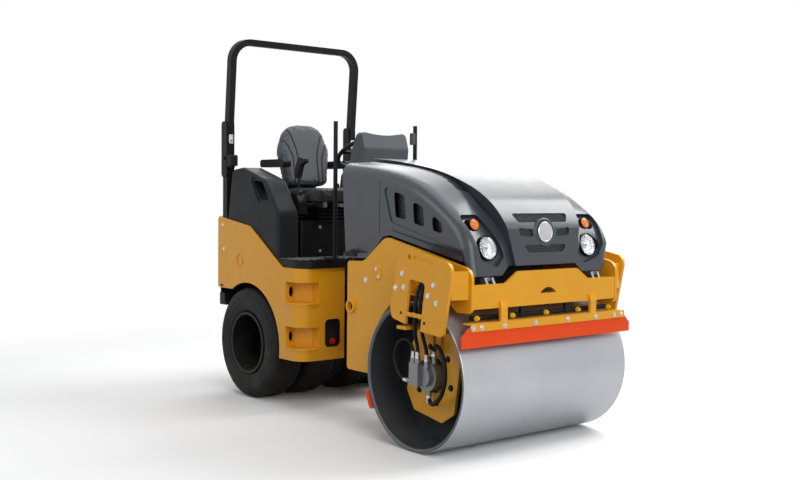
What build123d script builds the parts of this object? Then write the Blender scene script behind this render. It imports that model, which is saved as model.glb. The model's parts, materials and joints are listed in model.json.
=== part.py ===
from build123d import *
from math import cos, radians, sin, tan
import os

# Articulated combination roller, millimetres. X points forward to the drum, Y to the machine's
# left, Z up, and the ground is at Z 0 under the middle of the machine.
os.makedirs("parts", exist_ok=True)

# Stance
pivot_x = -10
pivot_z = 545
drum_reach = 1005
axle_reach = 1005
drum_x = pivot_x + drum_reach
axle_x = pivot_x - axle_reach

# Drum
drum_radius = 440
drum_width = 1380
shell_thickness = 24
shell_edge_round = 9
shell_inner_bevel = 10
web_depth = 235
web_thickness = 20
web_hub_radius = 120
journal_radius = 70
running_clearance = 0.05
drum_end = drum_width / 2
web_face = drum_end - web_depth

# Drum arms, outlines given from the drum's axle
arm_gap = 26
arm_thickness = 20
arm_face = drum_end + arm_gap
arm_outline = [(-147, 341), (110, 285), (309, 269), (392, 682), (-72, 768), (-158, 411)]
arm_rounds = [36, 60, 30, 62, 72, 50]
slot_outline = [(-34, 230), (16, 578), (158, 562), (108, 230)]
slot_rounds = [0, 28, 28, 0]
arm_hole = (16, 703)
arm_hole_radius = 15
press_start = (70, 694)
press_end = (206, 668)
press_width = 40
press_depth = 6
clamp_outline = [(-38, 362), (150, 356), (153, 380), (-35, 386)]
clamp_thickness = 8
carrier_gap = 75
carrier_thickness = 20
carrier_face = web_face + carrier_gap
carrier_hole_radius = 108
carrier_round = 16
shelf_top = 295
shelf_thickness = 20
shelf_spans = [(-120, -34), (118, 225)]
carrier_outline = [(-244, -122), (-175, -234), (77, -276), (183, -211), (230, 72), (225, shelf_top),
                   (-125, shelf_top), (-205, 150)]
rib_bottom = 480
rib_height = 160
rib_x = -60
rib_thickness = 20
gusset_x = 340
gusset_reach = 34
gusset_thickness = 18
buffer_radius = 36
buffer_height = 24
buffer_circle_radius = 166
buffer_count = 6
buffer_start_angle = 40
flange_radius = 196
flange_thickness = 16
motor_radius = 92
motor_length = 105
motor_cap_radius = 62
motor_cap_length = 26
valve_rear_x = -92
valve_length = 80
valve_bottom = -62
valve_top = 74
valve_reach = 52
valve_sink = 30
port_radius = 17
port_length = 26

# Hoses of the right drum motor, mirrored to the left: reach from the axle, Y, and height over the axle
riser_radius = 11
front_loop_radius = 13
rear_loop_radius = 9
rear_riser = [(-34, -625, 100), (-34, -625, 165), (-12, -664, 240), (18, -694, 312), (42, -712, 395),
              (56, -716, 475), (64, -690, 552), (64, -620, 552)]
front_riser = [(22, -604, 88), (22, -604, 150), (46, -650, 225), (68, -690, 305), (84, -712, 392),
               (94, -716, 475), (100, -690, 560), (100, -620, 560)]
front_loop = [(44, -566, 118), (44, -566, 150), (84, -590, 190), (150, -612, 178), (196, -618, 110),
              (206, -618, 20), (178, -612, -72), (116, -600, -140), (40, -576, -168), (0, -566, -140),
              (0, -566, -118)]
rear_loop = [(-74, -625, 100), (-74, -625, 150), (-104, -628, 196), (-164, -632, 206), (-220, -636, 164),
             (-242, -636, 92), (-224, -632, 18), (-176, -628, -34), (-140, -625, -40), (-118, -625, -40)]

# Front frame
plate_inset = 70
plate_face = drum_end - plate_inset
plate_thickness = 20
plate_rear_x = 250
plate_front_x = 1413
plate_bottom_z = 385
plate_nose_z = 842
nose_top_z = 1088
nose_round = 70
chin_round = 34
heel_round = 24
arch_gap = 60
lug_x = 296
lug_z = 790
lug_outer_radius = 42
lug_bore_radius = 30
lug_length = 36
floor_z = 905
floor_thickness = 20
floor_rear_x = 330
wall_thickness = 30
wall_lift = 20
beam_thickness = 20
beam_recess = 3
beam_bottom_z = 866
beam_side_top_z = 1002
beam_middle_top_z = 1068
beam_middle_half_width = 250
beam_shoulder_half_width = 350
beam_bend_round = 36
tow_hole_half_width = 68
tow_hole_height = 34
tow_hole_z = 932
bearing_radius = 96
bearing_length = 190
engine_length = 700
engine_width = 600
engine_height = 520
engine_rear_x = 380

# Scrapers and spray bar
blade_thickness = 16
blade_half_width = 709
blade_top_half_width = 650
blade_bottom_z = 658
blade_side_top_z = 714
blade_top_z = 772
blade_x = 1424
angle_thickness = 8
angle_bottom_z = 748
angle_top_z = 792
angle_depth = 62
strap_y = 380
strap_width = 52
strap_thickness = 12
strap_top_z = 902
strap_round = 14
spray_radius = 14
spray_x = 1372
spray_z = 814
spray_end_gap = 12
spray_hanger_y = 190
spray_hanger_width = 36
nozzle_count = 5
nozzle_pitch = 280
nozzle_radius = 15
nozzle_tip_radius = 9
nozzle_length = 12
rear_blade_gap = 10
rear_blade_thickness = 16
rear_blade_start = 198
rear_blade_end = 212
rear_blade_half_width = 700
rear_bar_thickness = 10
rear_bar_inset = 30
rear_arm_y = 420
rear_arm_width = 60
rear_arm_height = 40
rear_arm_seat = 13
rear_arm_run = 120

# Hood: its lower edge, shoulder line and spine line are given as X and Z
hood_inset = 45
hood_half_width = plate_face - hood_inset
hood_wall = 14
hood_rear_x = 168
hood_front_x = 1366
hood_chin_z = 1044
hood_edge = [(hood_rear_x, 1095), (422, 1100), (642, 1264), (1296, 1128), (1356, hood_chin_z)]
hood_edge_rounds = [120, 110, 40]
hood_shoulder_round = 62
hood_lip_reach = 16
hood_lip_height = 30
hood_gap = 18
nose_side_gap = 32
nose_top_gap = 30
shoulder_line = [(hood_rear_x, 1688), (560, 1652), (900, 1566), (1150, 1438), (1290, 1318), (1348, 1215)]
spine_line = [(hood_rear_x, 1736), (520, 1702), (850, 1640), (1110, 1556), (1286, 1440), (1370, 1310)]
spine_front_x = 1394
spine_chin_z = 1092
spine_rear_half_width = 372
spine_run = Vector(1116, 40, -300)
spine_drop = Vector(1226, 116, -644)
crease_x = 557
crease_width = 5
crease_depth = 3
vent_field = [(592, 1556), (948, 1470), (1152, 1338), (1170, 1214), (668, 1332)]
vent_field_rounds = [26, 40, 60, 30, 40]
vent_field_depth = 8
vents = [[(686, 1520), (790, 1496), (808, 1350), (704, 1366)],
         [(866, 1462), (962, 1430), (980, 1312), (880, 1332)],
         [(1040, 1392), (1126, 1340), (1142, 1276), (1052, 1296)]]
vent_round = 20
mesh_thickness = 4
mesh_overlap = 12
grille_rows = [[(-240, 1398), (240, 1398), (200, 1346), (-200, 1346)],
               [(-218, 1316), (-104, 1304), (-94, 1260), (-206, 1270)],
               [(94, 1260), (104, 1304), (218, 1316), (206, 1270)],
               [(-190, 1214), (190, 1214), (140, 1170), (-140, 1170)]]
grille_round = 12
nose_disc_z = 1288
nose_disc_radius = 64
nose_disc_height = 8
nose_lean = 6
pod_outline = [(37, 1388), (163, 1384), (262, 1150), (203, 1092), (83, 1128)]
pod_round = 26
pod_depth = 24
lamp_tilt = 15
head_lamp_radius = 73
head_lamp_inset = 150
head_lamp_y = hood_half_width - head_lamp_inset
head_lamp_x = 1338
head_lamp_z = 1203
head_lamp_depth = 64
lamp_dome = 8
turn_lamp_tilt = 22
turn_lamp_radius = 38
turn_lamp_inset = 103
turn_lamp_y = hood_half_width - turn_lamp_inset
turn_lamp_x = 1272
turn_lamp_z = 1335
turn_lamp_depth = 66
hinge_x = 1356
hinge_z = 1020
hinge_pin_radius = 12
hinge_inset = 125
hinge_y = hood_half_width - hinge_inset
hinge_lug_width = 22
hinge_lug_reach = 24
hinge_lug_nose = 18
hinge_lug_top_reach = 8
hinge_lug_top_z = 1070
hinge_cheek = 18
hinge_cheek_gap = 7
hinge_cheek_reach = 16
hinge_cheek_heel = 12
hinge_cheek_root = 40
latch_x = 190
latch_length = 112
latch_low_z = 1104
latch_height = 28
latch_thickness = 12

# Steering joint and cylinder
steer_pin_radius = 40
steer_pin_stand = 16
ear_thickness = 30
ear_radius = 92
ear_gap = 190
ear_root = 60
knuckle_half_width = 76
knuckle_rear = 70
knuckle_front = 90
knuckle_round = 24
knuckle_gap = 5
swing_shaft_radius = 55
lever_y = -150
lever_thickness = 20
lever_radius = 40
rod_radius = 18
rod_eye_radius = 36
rod_eye_height = 44
rod_eye_gap = 0.5
rod_start_x = -405
barrel_radius = 38
barrel_front_x = -222
barrel_rear_x = -545
barrel_end_wall = 40
barrel_foot = 30

# Rear frame
skirt_face = 606
skirt_thickness = 12
skirt_corner_radius = 110
skirt_front_x = -318
skirt_inner_y = 230
skirt_bottom_z = 345
skirt_rear_x = -1447
skirt_rear_bottom_z = 782
skirt_rear_top_z = 1324
skirt_shoulder = (-989, 1261)
skirt_foot_x = -552
skirt_shoulder_round = 90
skirt_foot_round = 120
skirt_rear_top_round = 26
skirt_rear_foot_round = 20
skirt_top_z = 985
tyre_arch_gap = 38
slab_bottom_z = 850
spine_half_width = 44
spine_bottom_z = 335
axle_block_reach = 90
deck_top_z = 1045
deck_front_x = -306
step_low_z = 431
step_low_top_z = 578
step_high_z = 746
step_high_top_z = 888
step_shelf = 16
step_wall = 12
step_rear_x = -509
step_inner_y = 434
step_slant_x = -410
step_slant_y = 518
step_lip_reach = 9
step_lip_height = 12
step_hole_y = 560
step_hole_half_width = 18
step_hole_half_height = 38
hatch_outer_y = 396
hatch_inner_y = 262
hatch_low_z = 431
hatch_high_z = 628
hatch_round = 34
filler_x = -1120
filler_z = 1000
filler_radius = 52
filler_depth = 6
filler_cap_radius = 32
tail_thickness = 12
tail_field_half_width = 340
tail_field_low_z = 900
tail_field_high_z = 1110
tail_field_depth = 4
tail_field_round = 24
tail_lamp_y = 490
tail_lamp_half_width = 60
tail_lamp_low_z = 1160
tail_lamp_high_z = 1240
tail_lamp_depth = 8
tail_lamp_round = 14

# Wheels
tyre_radius = 403
tyre_width = 265
tyre_outer_face = 618
tyre_wall = [(24, 0), (4, 50), (0, 102)]
tyre_shoulder_inset = 10
tyre_shoulder_drop = 26
tread_inset = 42
twin_gap = 28
rim_radius = 225
rim_thickness = 18
rim_inset = 10
rim_disc_thickness = 20
hub_radius = 120
hub_cap_radius = 100
hub_end = 400
axle_radius = 60
axle_half_length = 385
wheel_gap = 15
tyre_scraper_half_width = 590
tyre_scraper_top_z = 800
tyre_scraper_bend_z = 741
tyre_scraper_tip = (-1352, 650)
tyre_scraper_thickness = 12
scraper_box_low_z = 650
scraper_box_high_z = 740
scraper_box_front_x = -1374
scraper_box_width = 70

# Operator's place
pedestal_front_x = -640
pedestal_rear_x = -1320
pedestal_half_width = 385
pedestal_top_z = 1300
pedestal_round = 18
console_face = 590
console_gap = 14
console_edge_round = 22
console_rear_x = -1332
console_front_x = -626
console_top = [(-1332, 1340), (-1272, 1673), (-1125, 1690), (-803, 1600), (-629, 1370)]
console_rounds = [40, 46, 60, 120, 90]
grip_outline = [(-985, 1596), (-848, 1584), (-752, 1450), (-872, 1454)]
grip_round = 16
grip_field = [(-1012, 1624), (-836, 1606), (-712, 1434), (-888, 1432)]
grip_field_round = 28
grip_field_depth = 8
seat_y = -80
seat_width = 480
cushion_front_x = -560
cushion_rear_x = -1000
cushion_bottom_z = 1442
cushion_top_z = 1530
cushion_round = 70
back_height = 490
back_widest = 290
back_thickness = 96
back_lean = 9
back_gap = 22
back_foot_reach = 5
back_foot_half_width = 184
back_half_width = 234
back_top_half_width = 150
back_foot_round = 60
back_side_round = 170
back_top_round = 145
base_rear_x = -960
base_front_x = -620
base_width = 330
base_folds = 4
base_fold_depth = 16
rail_bar_height = 40
rail_bar_width = 34
rail_bar_y = 132
rail_bar_rear_x = -980
rail_bar_front_x = -590
seat_shell_thickness = 14
seat_shell_height = 330
seat_shell_half_width = 130
seat_foot_low = 42
seat_foot_high = 80
arm_pad_front_x = -866
arm_pad_rear_reach = 34
arm_pad_width = 70
arm_pad_gap = 6
arm_pad_top_z = 1752
arm_pad_thickness = 58
arm_pad_round = 24
arm_bar_depth = 30
arm_bar_gap = 4
arm_bar_inset = 10
housing_outline = [(-814, 1346), (-648, 1346), (-648, 1440), (-690, 1498), (-772, 1498), (-814, 1440)]
housing_rounds = [14, 14, 40, 40, 40, 40]
housing_bracket_front_x = -690
housing_bracket_rear_x = -770
lever_foot_x = -716
lever_foot_z = 1496
lever_lean = 5
lever_stem = [(0, 0), (34, 0), (30, 20), (16, 34), (9, 50), (9, 136), (0, 136)]
lever_grip = [(-738, 1612), (-704, 1610), (-668, 1706), (-616, 1724), (-620, 1752), (-690, 1764), (-722, 1700)]
lever_grip_rounds = [10, 10, 30, 10, 10, 20, 40]
lever_grip_width = 42
column_x = -215
column_foot_x = -314
column_foot_depth = 96
column_top_front = 50
column_top_rear = 40
column_width = 170
dash_width = 390
dash_height = 248
dash_outline = [(-100, 0), (60, 0), (72, 130), (34, dash_height), (-12, dash_height), (-84, 110)]
dash_dip = 24
dash_end_round = 30
dash_rounds = [24, 40, 50, 22, 22, 40]
dash_bottom_z = 1690
wheel_rim_radius = 185
wheel_tube_radius = 15
wheel_x = -425
wheel_z = 1800
wheel_tilt = 32
wheel_hub_radius = 46
wheel_spoke_width = 28
wheel_spoke_half_thickness = 8
wheel_shaft_radius = 26
wheel_shaft_length = 95
sleeve_radius = 40
sleeve_length = 205
rail_x = -263
rail_y = 355
rail_radius = 15
rail_top_z = 2000
rail_foot_rear = 95
rail_foot_front = 20
rail_foot_half_width = 28
rail_foot_thickness = 12

# Roll bar
post_x = -1370
post_depth = 60
post_width = 50
post_face = 592
post_top_z = 1690
post_foot_rear = 52
post_foot_front = 34
post_foot_width = 88
post_foot_thickness = 14
cheek_thickness = 9
cheek_bottom_z = 1620
cheek_top_z = 2040
cheek_depth = 78
cheek_round = 26
fold_z = 1762
fold_pin_radius = 14
fold_pin_stand = 8
hoop_top_z = 2665
hoop_lean = 4.6
hoop_corner_radius = 170
hoop_foot = 26
hoop_side_gap = 1


def from_axle(points):
    return [(drum_x + x, drum_radius + z) for x, z in points]


def plate(outline, y_low, y_high, mode=Mode.ADD, rounds=0):
    with BuildSketch(Plane.XZ.offset(-y_high)) as face:
        with BuildLine():
            FilletPolyline(*outline, radius=rounds, close=True)
        make_face()
    extrude(face.sketch, amount=y_high - y_low, mode=mode)


def cross_plate(outline, x_low, x_high, mode=Mode.ADD, rounds=0):
    with BuildSketch(Plane.YZ.offset(x_low)) as face:
        with BuildLine():
            FilletPolyline(*outline, radius=rounds, close=True)
        make_face()
    extrude(face.sketch, amount=x_high - x_low, mode=mode)


def level_plate(outline, z_low, z_high, mode=Mode.ADD, rounds=0):
    with BuildSketch(Plane.XY.offset(z_low)) as face:
        with BuildLine():
            FilletPolyline(*outline, radius=rounds, close=True)
        make_face()
    extrude(face.sketch, amount=z_high - z_low, mode=mode)


def block(x_low, x_high, y_low, y_high, z_low, z_high, mode=Mode.ADD):
    with Locations(((x_low + x_high) / 2, (y_low + y_high) / 2, (z_low + z_high) / 2)):
        Box(x_high - x_low, y_high - y_low, z_high - z_low, mode=mode)


def turned(profile, x, z, mode=Mode.ADD):
    with BuildSketch(Plane(origin=(x, 0, z), x_dir=(0, 1, 0), z_dir=(1, 0, 0))) as face:
        with BuildLine():
            Polyline(*profile, close=True)
        make_face()
    revolve(face.sketch, axis=Axis((x, 0, z), (0, 1, 0)), mode=mode)


def cross_pin(x, z, y_low, y_high, radius, mode=Mode.ADD):
    with BuildSketch(Plane.XZ.offset(-y_high)) as face:
        with Locations((x, z)):
            Circle(radius)
    extrude(face.sketch, amount=y_high - y_low, mode=mode)


def upright_pin(x, y, z_low, z_high, radius, mode=Mode.ADD):
    with BuildSketch(Plane.XY.offset(z_low)) as face:
        with Locations((x, y)):
            Circle(radius)
    extrude(face.sketch, amount=z_high - z_low, mode=mode)


def long_pin(y, z, x_low, x_high, radius, mode=Mode.ADD):
    with BuildSketch(Plane.YZ.offset(x_low)) as face:
        with Locations((y, z)):
            Circle(radius)
    extrude(face.sketch, amount=x_high - x_low, mode=mode)


def tilted_plane(x, y, z, tilt):
    return Plane(origin=(x, y, z), x_dir=(0, 1, 0), z_dir=(cos(radians(tilt)), 0, sin(radians(tilt))))


def tilted_pin(plane, low, high, radius, mode=Mode.ADD):
    with BuildSketch(plane.offset(low)) as face:
        Circle(radius)
    extrude(face.sketch, amount=high - low, mode=mode)


# Drum: a rolled shell, and a spool of two webs that turns on the motors' journals
with BuildPart() as drum_shell:
    inner = drum_radius - shell_thickness
    turned([(-drum_end, inner), (drum_end, inner), (drum_end, drum_radius), (-drum_end, drum_radius)],
           drum_x, drum_radius)
    rims = drum_shell.edges().filter_by(GeomType.CIRCLE).group_by(SortBy.RADIUS)
    fillet(rims[-1], shell_edge_round)
    chamfer(rims[0], shell_inner_bevel)
drum_shell.part.label = "drum_shell"
export_step(drum_shell.part, "parts/drum_shell.step")

with BuildPart() as drum_webs:
    bore = journal_radius + running_clearance
    web_back = web_face - web_thickness
    turned([(-web_face, bore), (web_face, bore), (web_face, inner), (web_back, inner),
            (web_back, web_hub_radius), (-web_back, web_hub_radius), (-web_back, inner),
            (-web_face, inner)], drum_x, drum_radius)
drum_webs.part.label = "drum_webs"
export_step(drum_webs.part, "parts/drum_webs.step")

# Drum arms: an outer plate past the drum's end with a slot for the hoses, a shelf into the drum,
# the carrier plate, and a rib and a slanted gusset to the frame's side plate
arm_outer = arm_face + arm_thickness
carrier_back = carrier_face - carrier_thickness
with BuildPart() as drum_arm_right:
    plate(from_axle(arm_outline), -arm_outer, -arm_face, rounds=arm_rounds)
    plate(from_axle(slot_outline), -arm_outer, -arm_face, mode=Mode.SUBTRACT, rounds=slot_rounds)
    plate(from_axle(clamp_outline), -arm_outer, -arm_outer + clamp_thickness)
    hole_x, hole_z = from_axle([arm_hole])[0]
    cross_pin(hole_x, hole_z, -arm_outer, -arm_face, arm_hole_radius, mode=Mode.SUBTRACT)
    press_low, press_high = from_axle([press_start, press_end])
    with BuildSketch(Plane.XZ.offset(arm_outer)) as pressing:
        with BuildLine():
            centre = Line(press_low, press_high)
        with Locations(centre @ 0.5):
            SlotCenterToCenter(centre.length, press_width, rotation=centre.tangent_angle_at(0))
    extrude(pressing.sketch, amount=-press_depth, mode=Mode.SUBTRACT)
    for low, high in shelf_spans:
        block(drum_x + low, drum_x + high, -arm_face, -carrier_back,
              drum_radius + shelf_top - shelf_thickness, drum_radius + shelf_top)
    plate(from_axle(carrier_outline), -carrier_face, -carrier_back, rounds=carrier_round)
    cross_pin(drum_x, drum_radius, -carrier_face, -carrier_back, carrier_hole_radius, mode=Mode.SUBTRACT)
    rib_low = drum_radius + rib_bottom
    block(drum_x + rib_x, drum_x + rib_x + rib_thickness, -arm_face, -plate_face, rib_low, rib_low + rib_height)
    level_plate([(drum_x + gusset_x, -arm_face), (drum_x + gusset_x + gusset_thickness, -arm_face),
                 (drum_x + gusset_x + gusset_reach + gusset_thickness, -plate_face),
                 (drum_x + gusset_x + gusset_reach, -plate_face)], rib_low, rib_low + rib_height)
drum_arm_right.part.label = "drum_arm_right"
export_step(drum_arm_right.part, "parts/drum_arm_right.step")

with BuildPart() as drum_arm_left:
    mirror(drum_arm_right.part, about=Plane.XZ)
drum_arm_left.part.label = "drum_arm_left"
export_step(drum_arm_left.part, "parts/drum_arm_left.step")

# Rubber buffers between each carrier plate and its motor's flange
flange_face = carrier_back - buffer_height
with BuildPart() as drum_buffers:
    with BuildSketch(Plane(origin=(drum_x, -carrier_back, drum_radius), x_dir=(1, 0, 0), z_dir=(0, 1, 0))):
        with PolarLocations(buffer_circle_radius, buffer_count, start_angle=buffer_start_angle):
            Circle(buffer_radius)
    extrude(amount=buffer_height)
    mirror(about=Plane.XZ)
drum_buffers.part.label = "drum_buffers"
export_step(drum_buffers.part, "parts/drum_buffers.step")

# Drum motors: journal, flange, body and cap turned in one, with a valve block and hose ports
with BuildPart() as drum_motors:
    body_end = flange_face + motor_length
    cap_end = body_end + motor_cap_length
    turned([(-web_back, 0), (-cap_end, 0), (-cap_end, motor_cap_radius), (-body_end, motor_cap_radius),
            (-body_end, motor_radius), (-flange_face, motor_radius), (-flange_face, flange_radius),
            (-flange_face + flange_thickness, flange_radius),
            (-flange_face + flange_thickness, journal_radius), (-web_back, journal_radius)],
           drum_x, drum_radius)
    block(drum_x + valve_rear_x, drum_x + valve_rear_x + valve_length, -body_end - valve_reach,
          -body_end + valve_sink, drum_radius + valve_bottom, drum_radius + valve_top)
    for reach, side, rise in (rear_riser[0], rear_loop[0], front_riser[0], front_loop[0]):
        upright_pin(drum_x + reach, side, drum_radius + rise - 2 * port_length, drum_radius + rise, port_radius)
    reach, side, rise = front_loop[-1]
    upright_pin(drum_x + reach, side, drum_radius + rise, drum_radius + rise + 2 * port_length, port_radius)
    reach, side, rise = rear_loop[-1]
    long_pin(side, drum_radius + rise, drum_x + reach, drum_x + valve_rear_x, port_radius)
    mirror(about=Plane.XZ)
drum_motors.part.label = "drum_motors"
export_step(drum_motors.part, "parts/drum_motors.step")


# A hose follows its points in straight runs joined by arcs as large as the runs allow
def hose(points, radius):
    route = [Vector(drum_x + x, y, drum_radius + z) for x, y, z in points]
    runs = [after - before for before, after in zip(route, route[1:])]
    bends = []
    for before, after in zip(runs, runs[1:]):
        half_turn = radians(before.get_angle(after)) / 2
        bends.append(0.45 * min(before.length, after.length) / tan(half_turn))
    with BuildLine() as line:
        FilletPolyline(*route, radius=bends)
    with BuildSketch(Plane(origin=route[0], z_dir=runs[0])) as face:
        Circle(radius)
    sweep(face.sketch, path=line.wires()[0])


with BuildPart() as drum_hoses:
    hose(rear_riser, riser_radius)
    hose(front_riser, riser_radius)
    hose(front_loop, front_loop_radius)
    hose(rear_loop, rear_loop_radius)
    mirror(about=Plane.XZ)
drum_hoses.part.label = "drum_hoses"
export_step(drum_hoses.part, "parts/drum_hoses.step")

# Front frame: two side plates arched over the drum, a floor under the engine, and a nose beam
plate_inner = plate_face - plate_thickness
plate_outline = [(plate_rear_x, plate_bottom_z), (drum_x, plate_bottom_z), (drum_x, plate_nose_z),
                 (plate_front_x, plate_nose_z), (plate_front_x, nose_top_z),
                 (hood_edge[2][0], hood_edge[2][1] - hood_gap), (hood_edge[1][0], hood_edge[1][1] - hood_gap),
                 (plate_rear_x, hood_edge[0][1] - hood_gap)]
plate_rounds = [heel_round, 0, 0, chin_round, nose_round, hood_edge_rounds[1], hood_edge_rounds[0], heel_round]
with BuildPart() as front_sides:
    plate(plate_outline, -plate_face, -plate_inner, rounds=plate_rounds)
    cross_pin(drum_x, drum_radius, -plate_face, -plate_inner, drum_radius + arch_gap, mode=Mode.SUBTRACT)
    cross_pin(lug_x, lug_z, -plate_face, -plate_inner, lug_outer_radius, mode=Mode.SUBTRACT)
    mirror(about=Plane.XZ)
front_sides.part.label = "front_sides"
export_step(front_sides.part, "parts/front_sides.step")

with BuildPart() as tie_lugs:
    cross_pin(lug_x, lug_z, -plate_inner - lug_length, -plate_inner, lug_outer_radius)
    cross_pin(lug_x, lug_z, -plate_inner - lug_length, -plate_inner, lug_bore_radius, mode=Mode.SUBTRACT)
    mirror(about=Plane.XZ)
tie_lugs.part.label = "tie_lugs"
export_step(tie_lugs.part, "parts/tie_lugs.step")

beam_front_x = plate_front_x - beam_recess
beam_back_x = beam_front_x - beam_thickness
wall_front_x = floor_rear_x + wall_thickness
with BuildPart() as front_chassis:
    block(floor_rear_x, beam_back_x, -plate_inner, plate_inner, floor_z, floor_z + floor_thickness)
    block(floor_rear_x, wall_front_x, -plate_inner, plate_inner, plate_bottom_z + wall_lift, floor_z)
    long_pin(0, pivot_z, wall_front_x - bearing_length, wall_front_x, bearing_radius)
    long_pin(0, pivot_z, wall_front_x - bearing_length, wall_front_x, swing_shaft_radius + running_clearance,
             mode=Mode.SUBTRACT)
front_chassis.part.label = "front_chassis"
export_step(front_chassis.part, "parts/front_chassis.step")

beam_outline = [(-plate_inner, beam_bottom_z), (plate_inner, beam_bottom_z), (plate_inner, beam_side_top_z),
                (beam_shoulder_half_width, beam_side_top_z), (beam_middle_half_width, beam_middle_top_z),
                (-beam_middle_half_width, beam_middle_top_z), (-beam_shoulder_half_width, beam_side_top_z),
                (-plate_inner, beam_side_top_z)]
with BuildPart() as front_beam:
    cross_plate(beam_outline, beam_back_x, beam_front_x, rounds=[0, 0, 0] + 4 * [beam_bend_round] + [0])
    with BuildSketch(Plane.YZ.offset(beam_back_x)):
        with BuildLine():
            sill = Line((-tow_hole_half_width, tow_hole_z), (tow_hole_half_width, tow_hole_z))
            ThreePointArc(sill @ 1, (0, tow_hole_z + tow_hole_height), sill @ 0)
        make_face()
    extrude(amount=beam_thickness, mode=Mode.SUBTRACT)
front_beam.part.label = "front_beam"
export_step(front_beam.part, "parts/front_beam.step")

with BuildPart() as engine_block:
    block(engine_rear_x, engine_rear_x + engine_length, -engine_width / 2, engine_width / 2,
          floor_z + floor_thickness, floor_z + floor_thickness + engine_height)
engine_block.part.label = "engine_block"
export_step(engine_block.part, "parts/engine_block.step")

# Front scraper on an angle bar hung by two bent straps from the nose beam, and the spray bar behind it
with BuildPart() as scraper_blade:
    cross_plate([(-blade_half_width, blade_bottom_z), (blade_half_width, blade_bottom_z),
                 (blade_half_width, blade_side_top_z), (blade_top_half_width, blade_top_z),
                 (-blade_top_half_width, blade_top_z), (-blade_half_width, blade_side_top_z)],
                blade_x, blade_x + blade_thickness)
scraper_blade.part.label = "scraper_blade"
export_step(scraper_blade.part, "parts/scraper_blade.step")

angle_x = blade_x + blade_thickness
strap_outline = [(beam_front_x, strap_top_z), (beam_front_x, beam_bottom_z),
                 (blade_x - strap_thickness, angle_top_z),
                 (blade_x + strap_thickness / 2, angle_top_z), (blade_x + strap_thickness / 2, beam_bottom_z),
                 (beam_front_x + strap_thickness, strap_top_z)]
with BuildPart() as scraper_bar:
    block(angle_x, angle_x + angle_thickness, -blade_top_half_width, blade_top_half_width,
          angle_bottom_z, angle_top_z)
    block(angle_x - angle_depth, angle_x, -blade_top_half_width, blade_top_half_width,
          angle_top_z - angle_thickness, angle_top_z)
    for side in (-strap_y, strap_y):
        plate(strap_outline, side - strap_width / 2, side + strap_width / 2,
              rounds=[0, strap_round, 0, 0, strap_round, 0])
scraper_bar.part.label = "scraper_bar"
export_step(scraper_bar.part, "parts/scraper_bar.step")

with BuildPart() as spray_bar:
    cross_pin(spray_x, spray_z, -plate_inner + spray_end_gap, plate_inner - spray_end_gap, spray_radius)
    for side in (-spray_hanger_y, spray_hanger_y):
        block(spray_x, beam_back_x, side - spray_hanger_width / 2, side + spray_hanger_width / 2,
              spray_z - spray_radius, floor_z)
spray_bar.part.label = "spray_bar"
export_step(spray_bar.part, "parts/spray_bar.step")

with BuildPart() as spray_nozzles:
    root_x = spray_x + spray_radius
    for place in range(nozzle_count):
        side = (place - (nozzle_count - 1) / 2) * nozzle_pitch
        long_pin(side, spray_z, root_x, root_x + nozzle_length, nozzle_radius)
        long_pin(side, spray_z, root_x + nozzle_length, root_x + 2 * nozzle_length, nozzle_tip_radius)
spray_nozzles.part.label = "spray_nozzles"
export_step(spray_nozzles.part, "parts/spray_nozzles.step")


# Rear scraper: a curved strip round the drum's back, carried by two arms off the rear wall
def drum_strip(inner_radius, outer_radius, half_width):
    sweep_angle = rear_blade_end - rear_blade_start
    with BuildSketch(Plane.XZ.offset(-half_width)) as face:
        with BuildLine():
            near = CenterArc((drum_x, drum_radius), inner_radius, rear_blade_start, sweep_angle)
            far = CenterArc((drum_x, drum_radius), outer_radius, rear_blade_start, sweep_angle)
            Line(near @ 0, far @ 0)
            Line(near @ 1, far @ 1)
        make_face()
    extrude(face.sketch, amount=2 * half_width)


strip_outer = drum_radius + rear_blade_gap + rear_blade_thickness
with BuildPart() as rear_blade:
    drum_strip(drum_radius + rear_blade_gap, strip_outer, rear_blade_half_width)
rear_blade.part.label = "rear_blade"
export_step(rear_blade.part, "parts/rear_blade.step")

with BuildPart() as rear_blade_bar:
    drum_strip(strip_outer, strip_outer + rear_bar_thickness, rear_blade_half_width - rear_bar_inset)
    mid = radians((rear_blade_start + rear_blade_end) / 2)
    seat_x = drum_x + (strip_outer + rear_bar_thickness / 2) * cos(mid)
    seat_z = drum_radius + (strip_outer + rear_bar_thickness / 2) * sin(mid)
    arm_low = plate_bottom_z + wall_lift
    for side in (-rear_arm_y, rear_arm_y):
        plate([(seat_x - rear_arm_seat * sin(mid), seat_z + rear_arm_seat * cos(mid)),
               (seat_x + rear_arm_seat * sin(mid), seat_z - rear_arm_seat * cos(mid)),
               (floor_rear_x + rear_arm_run, arm_low + rear_arm_height),
               (wall_front_x, arm_low + rear_arm_height),
               (wall_front_x, arm_low), (floor_rear_x + rear_arm_run, arm_low)],
              side - rear_arm_width / 2, side + rear_arm_width / 2)
rear_blade_bar.part.label = "rear_blade_bar"
export_step(rear_blade_bar.part, "parts/rear_blade_bar.step")


# Hood: shoulders and a raised spine with the grille, made hollow by smaller copies of both, with
# a sunk vent field on each side and a sunk lamp pod at each front corner
def inset_line(points, inset):
    curve = Spline(*points)
    moved = []
    for step in range(8):
        place = curve @ (step / 7)
        heading = curve % (step / 7)
        moved.append((place.X + inset * heading.Y, place.Y - inset * heading.X))
    moved[0] = (points[0][0] + inset, moved[0][1])
    return moved


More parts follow.
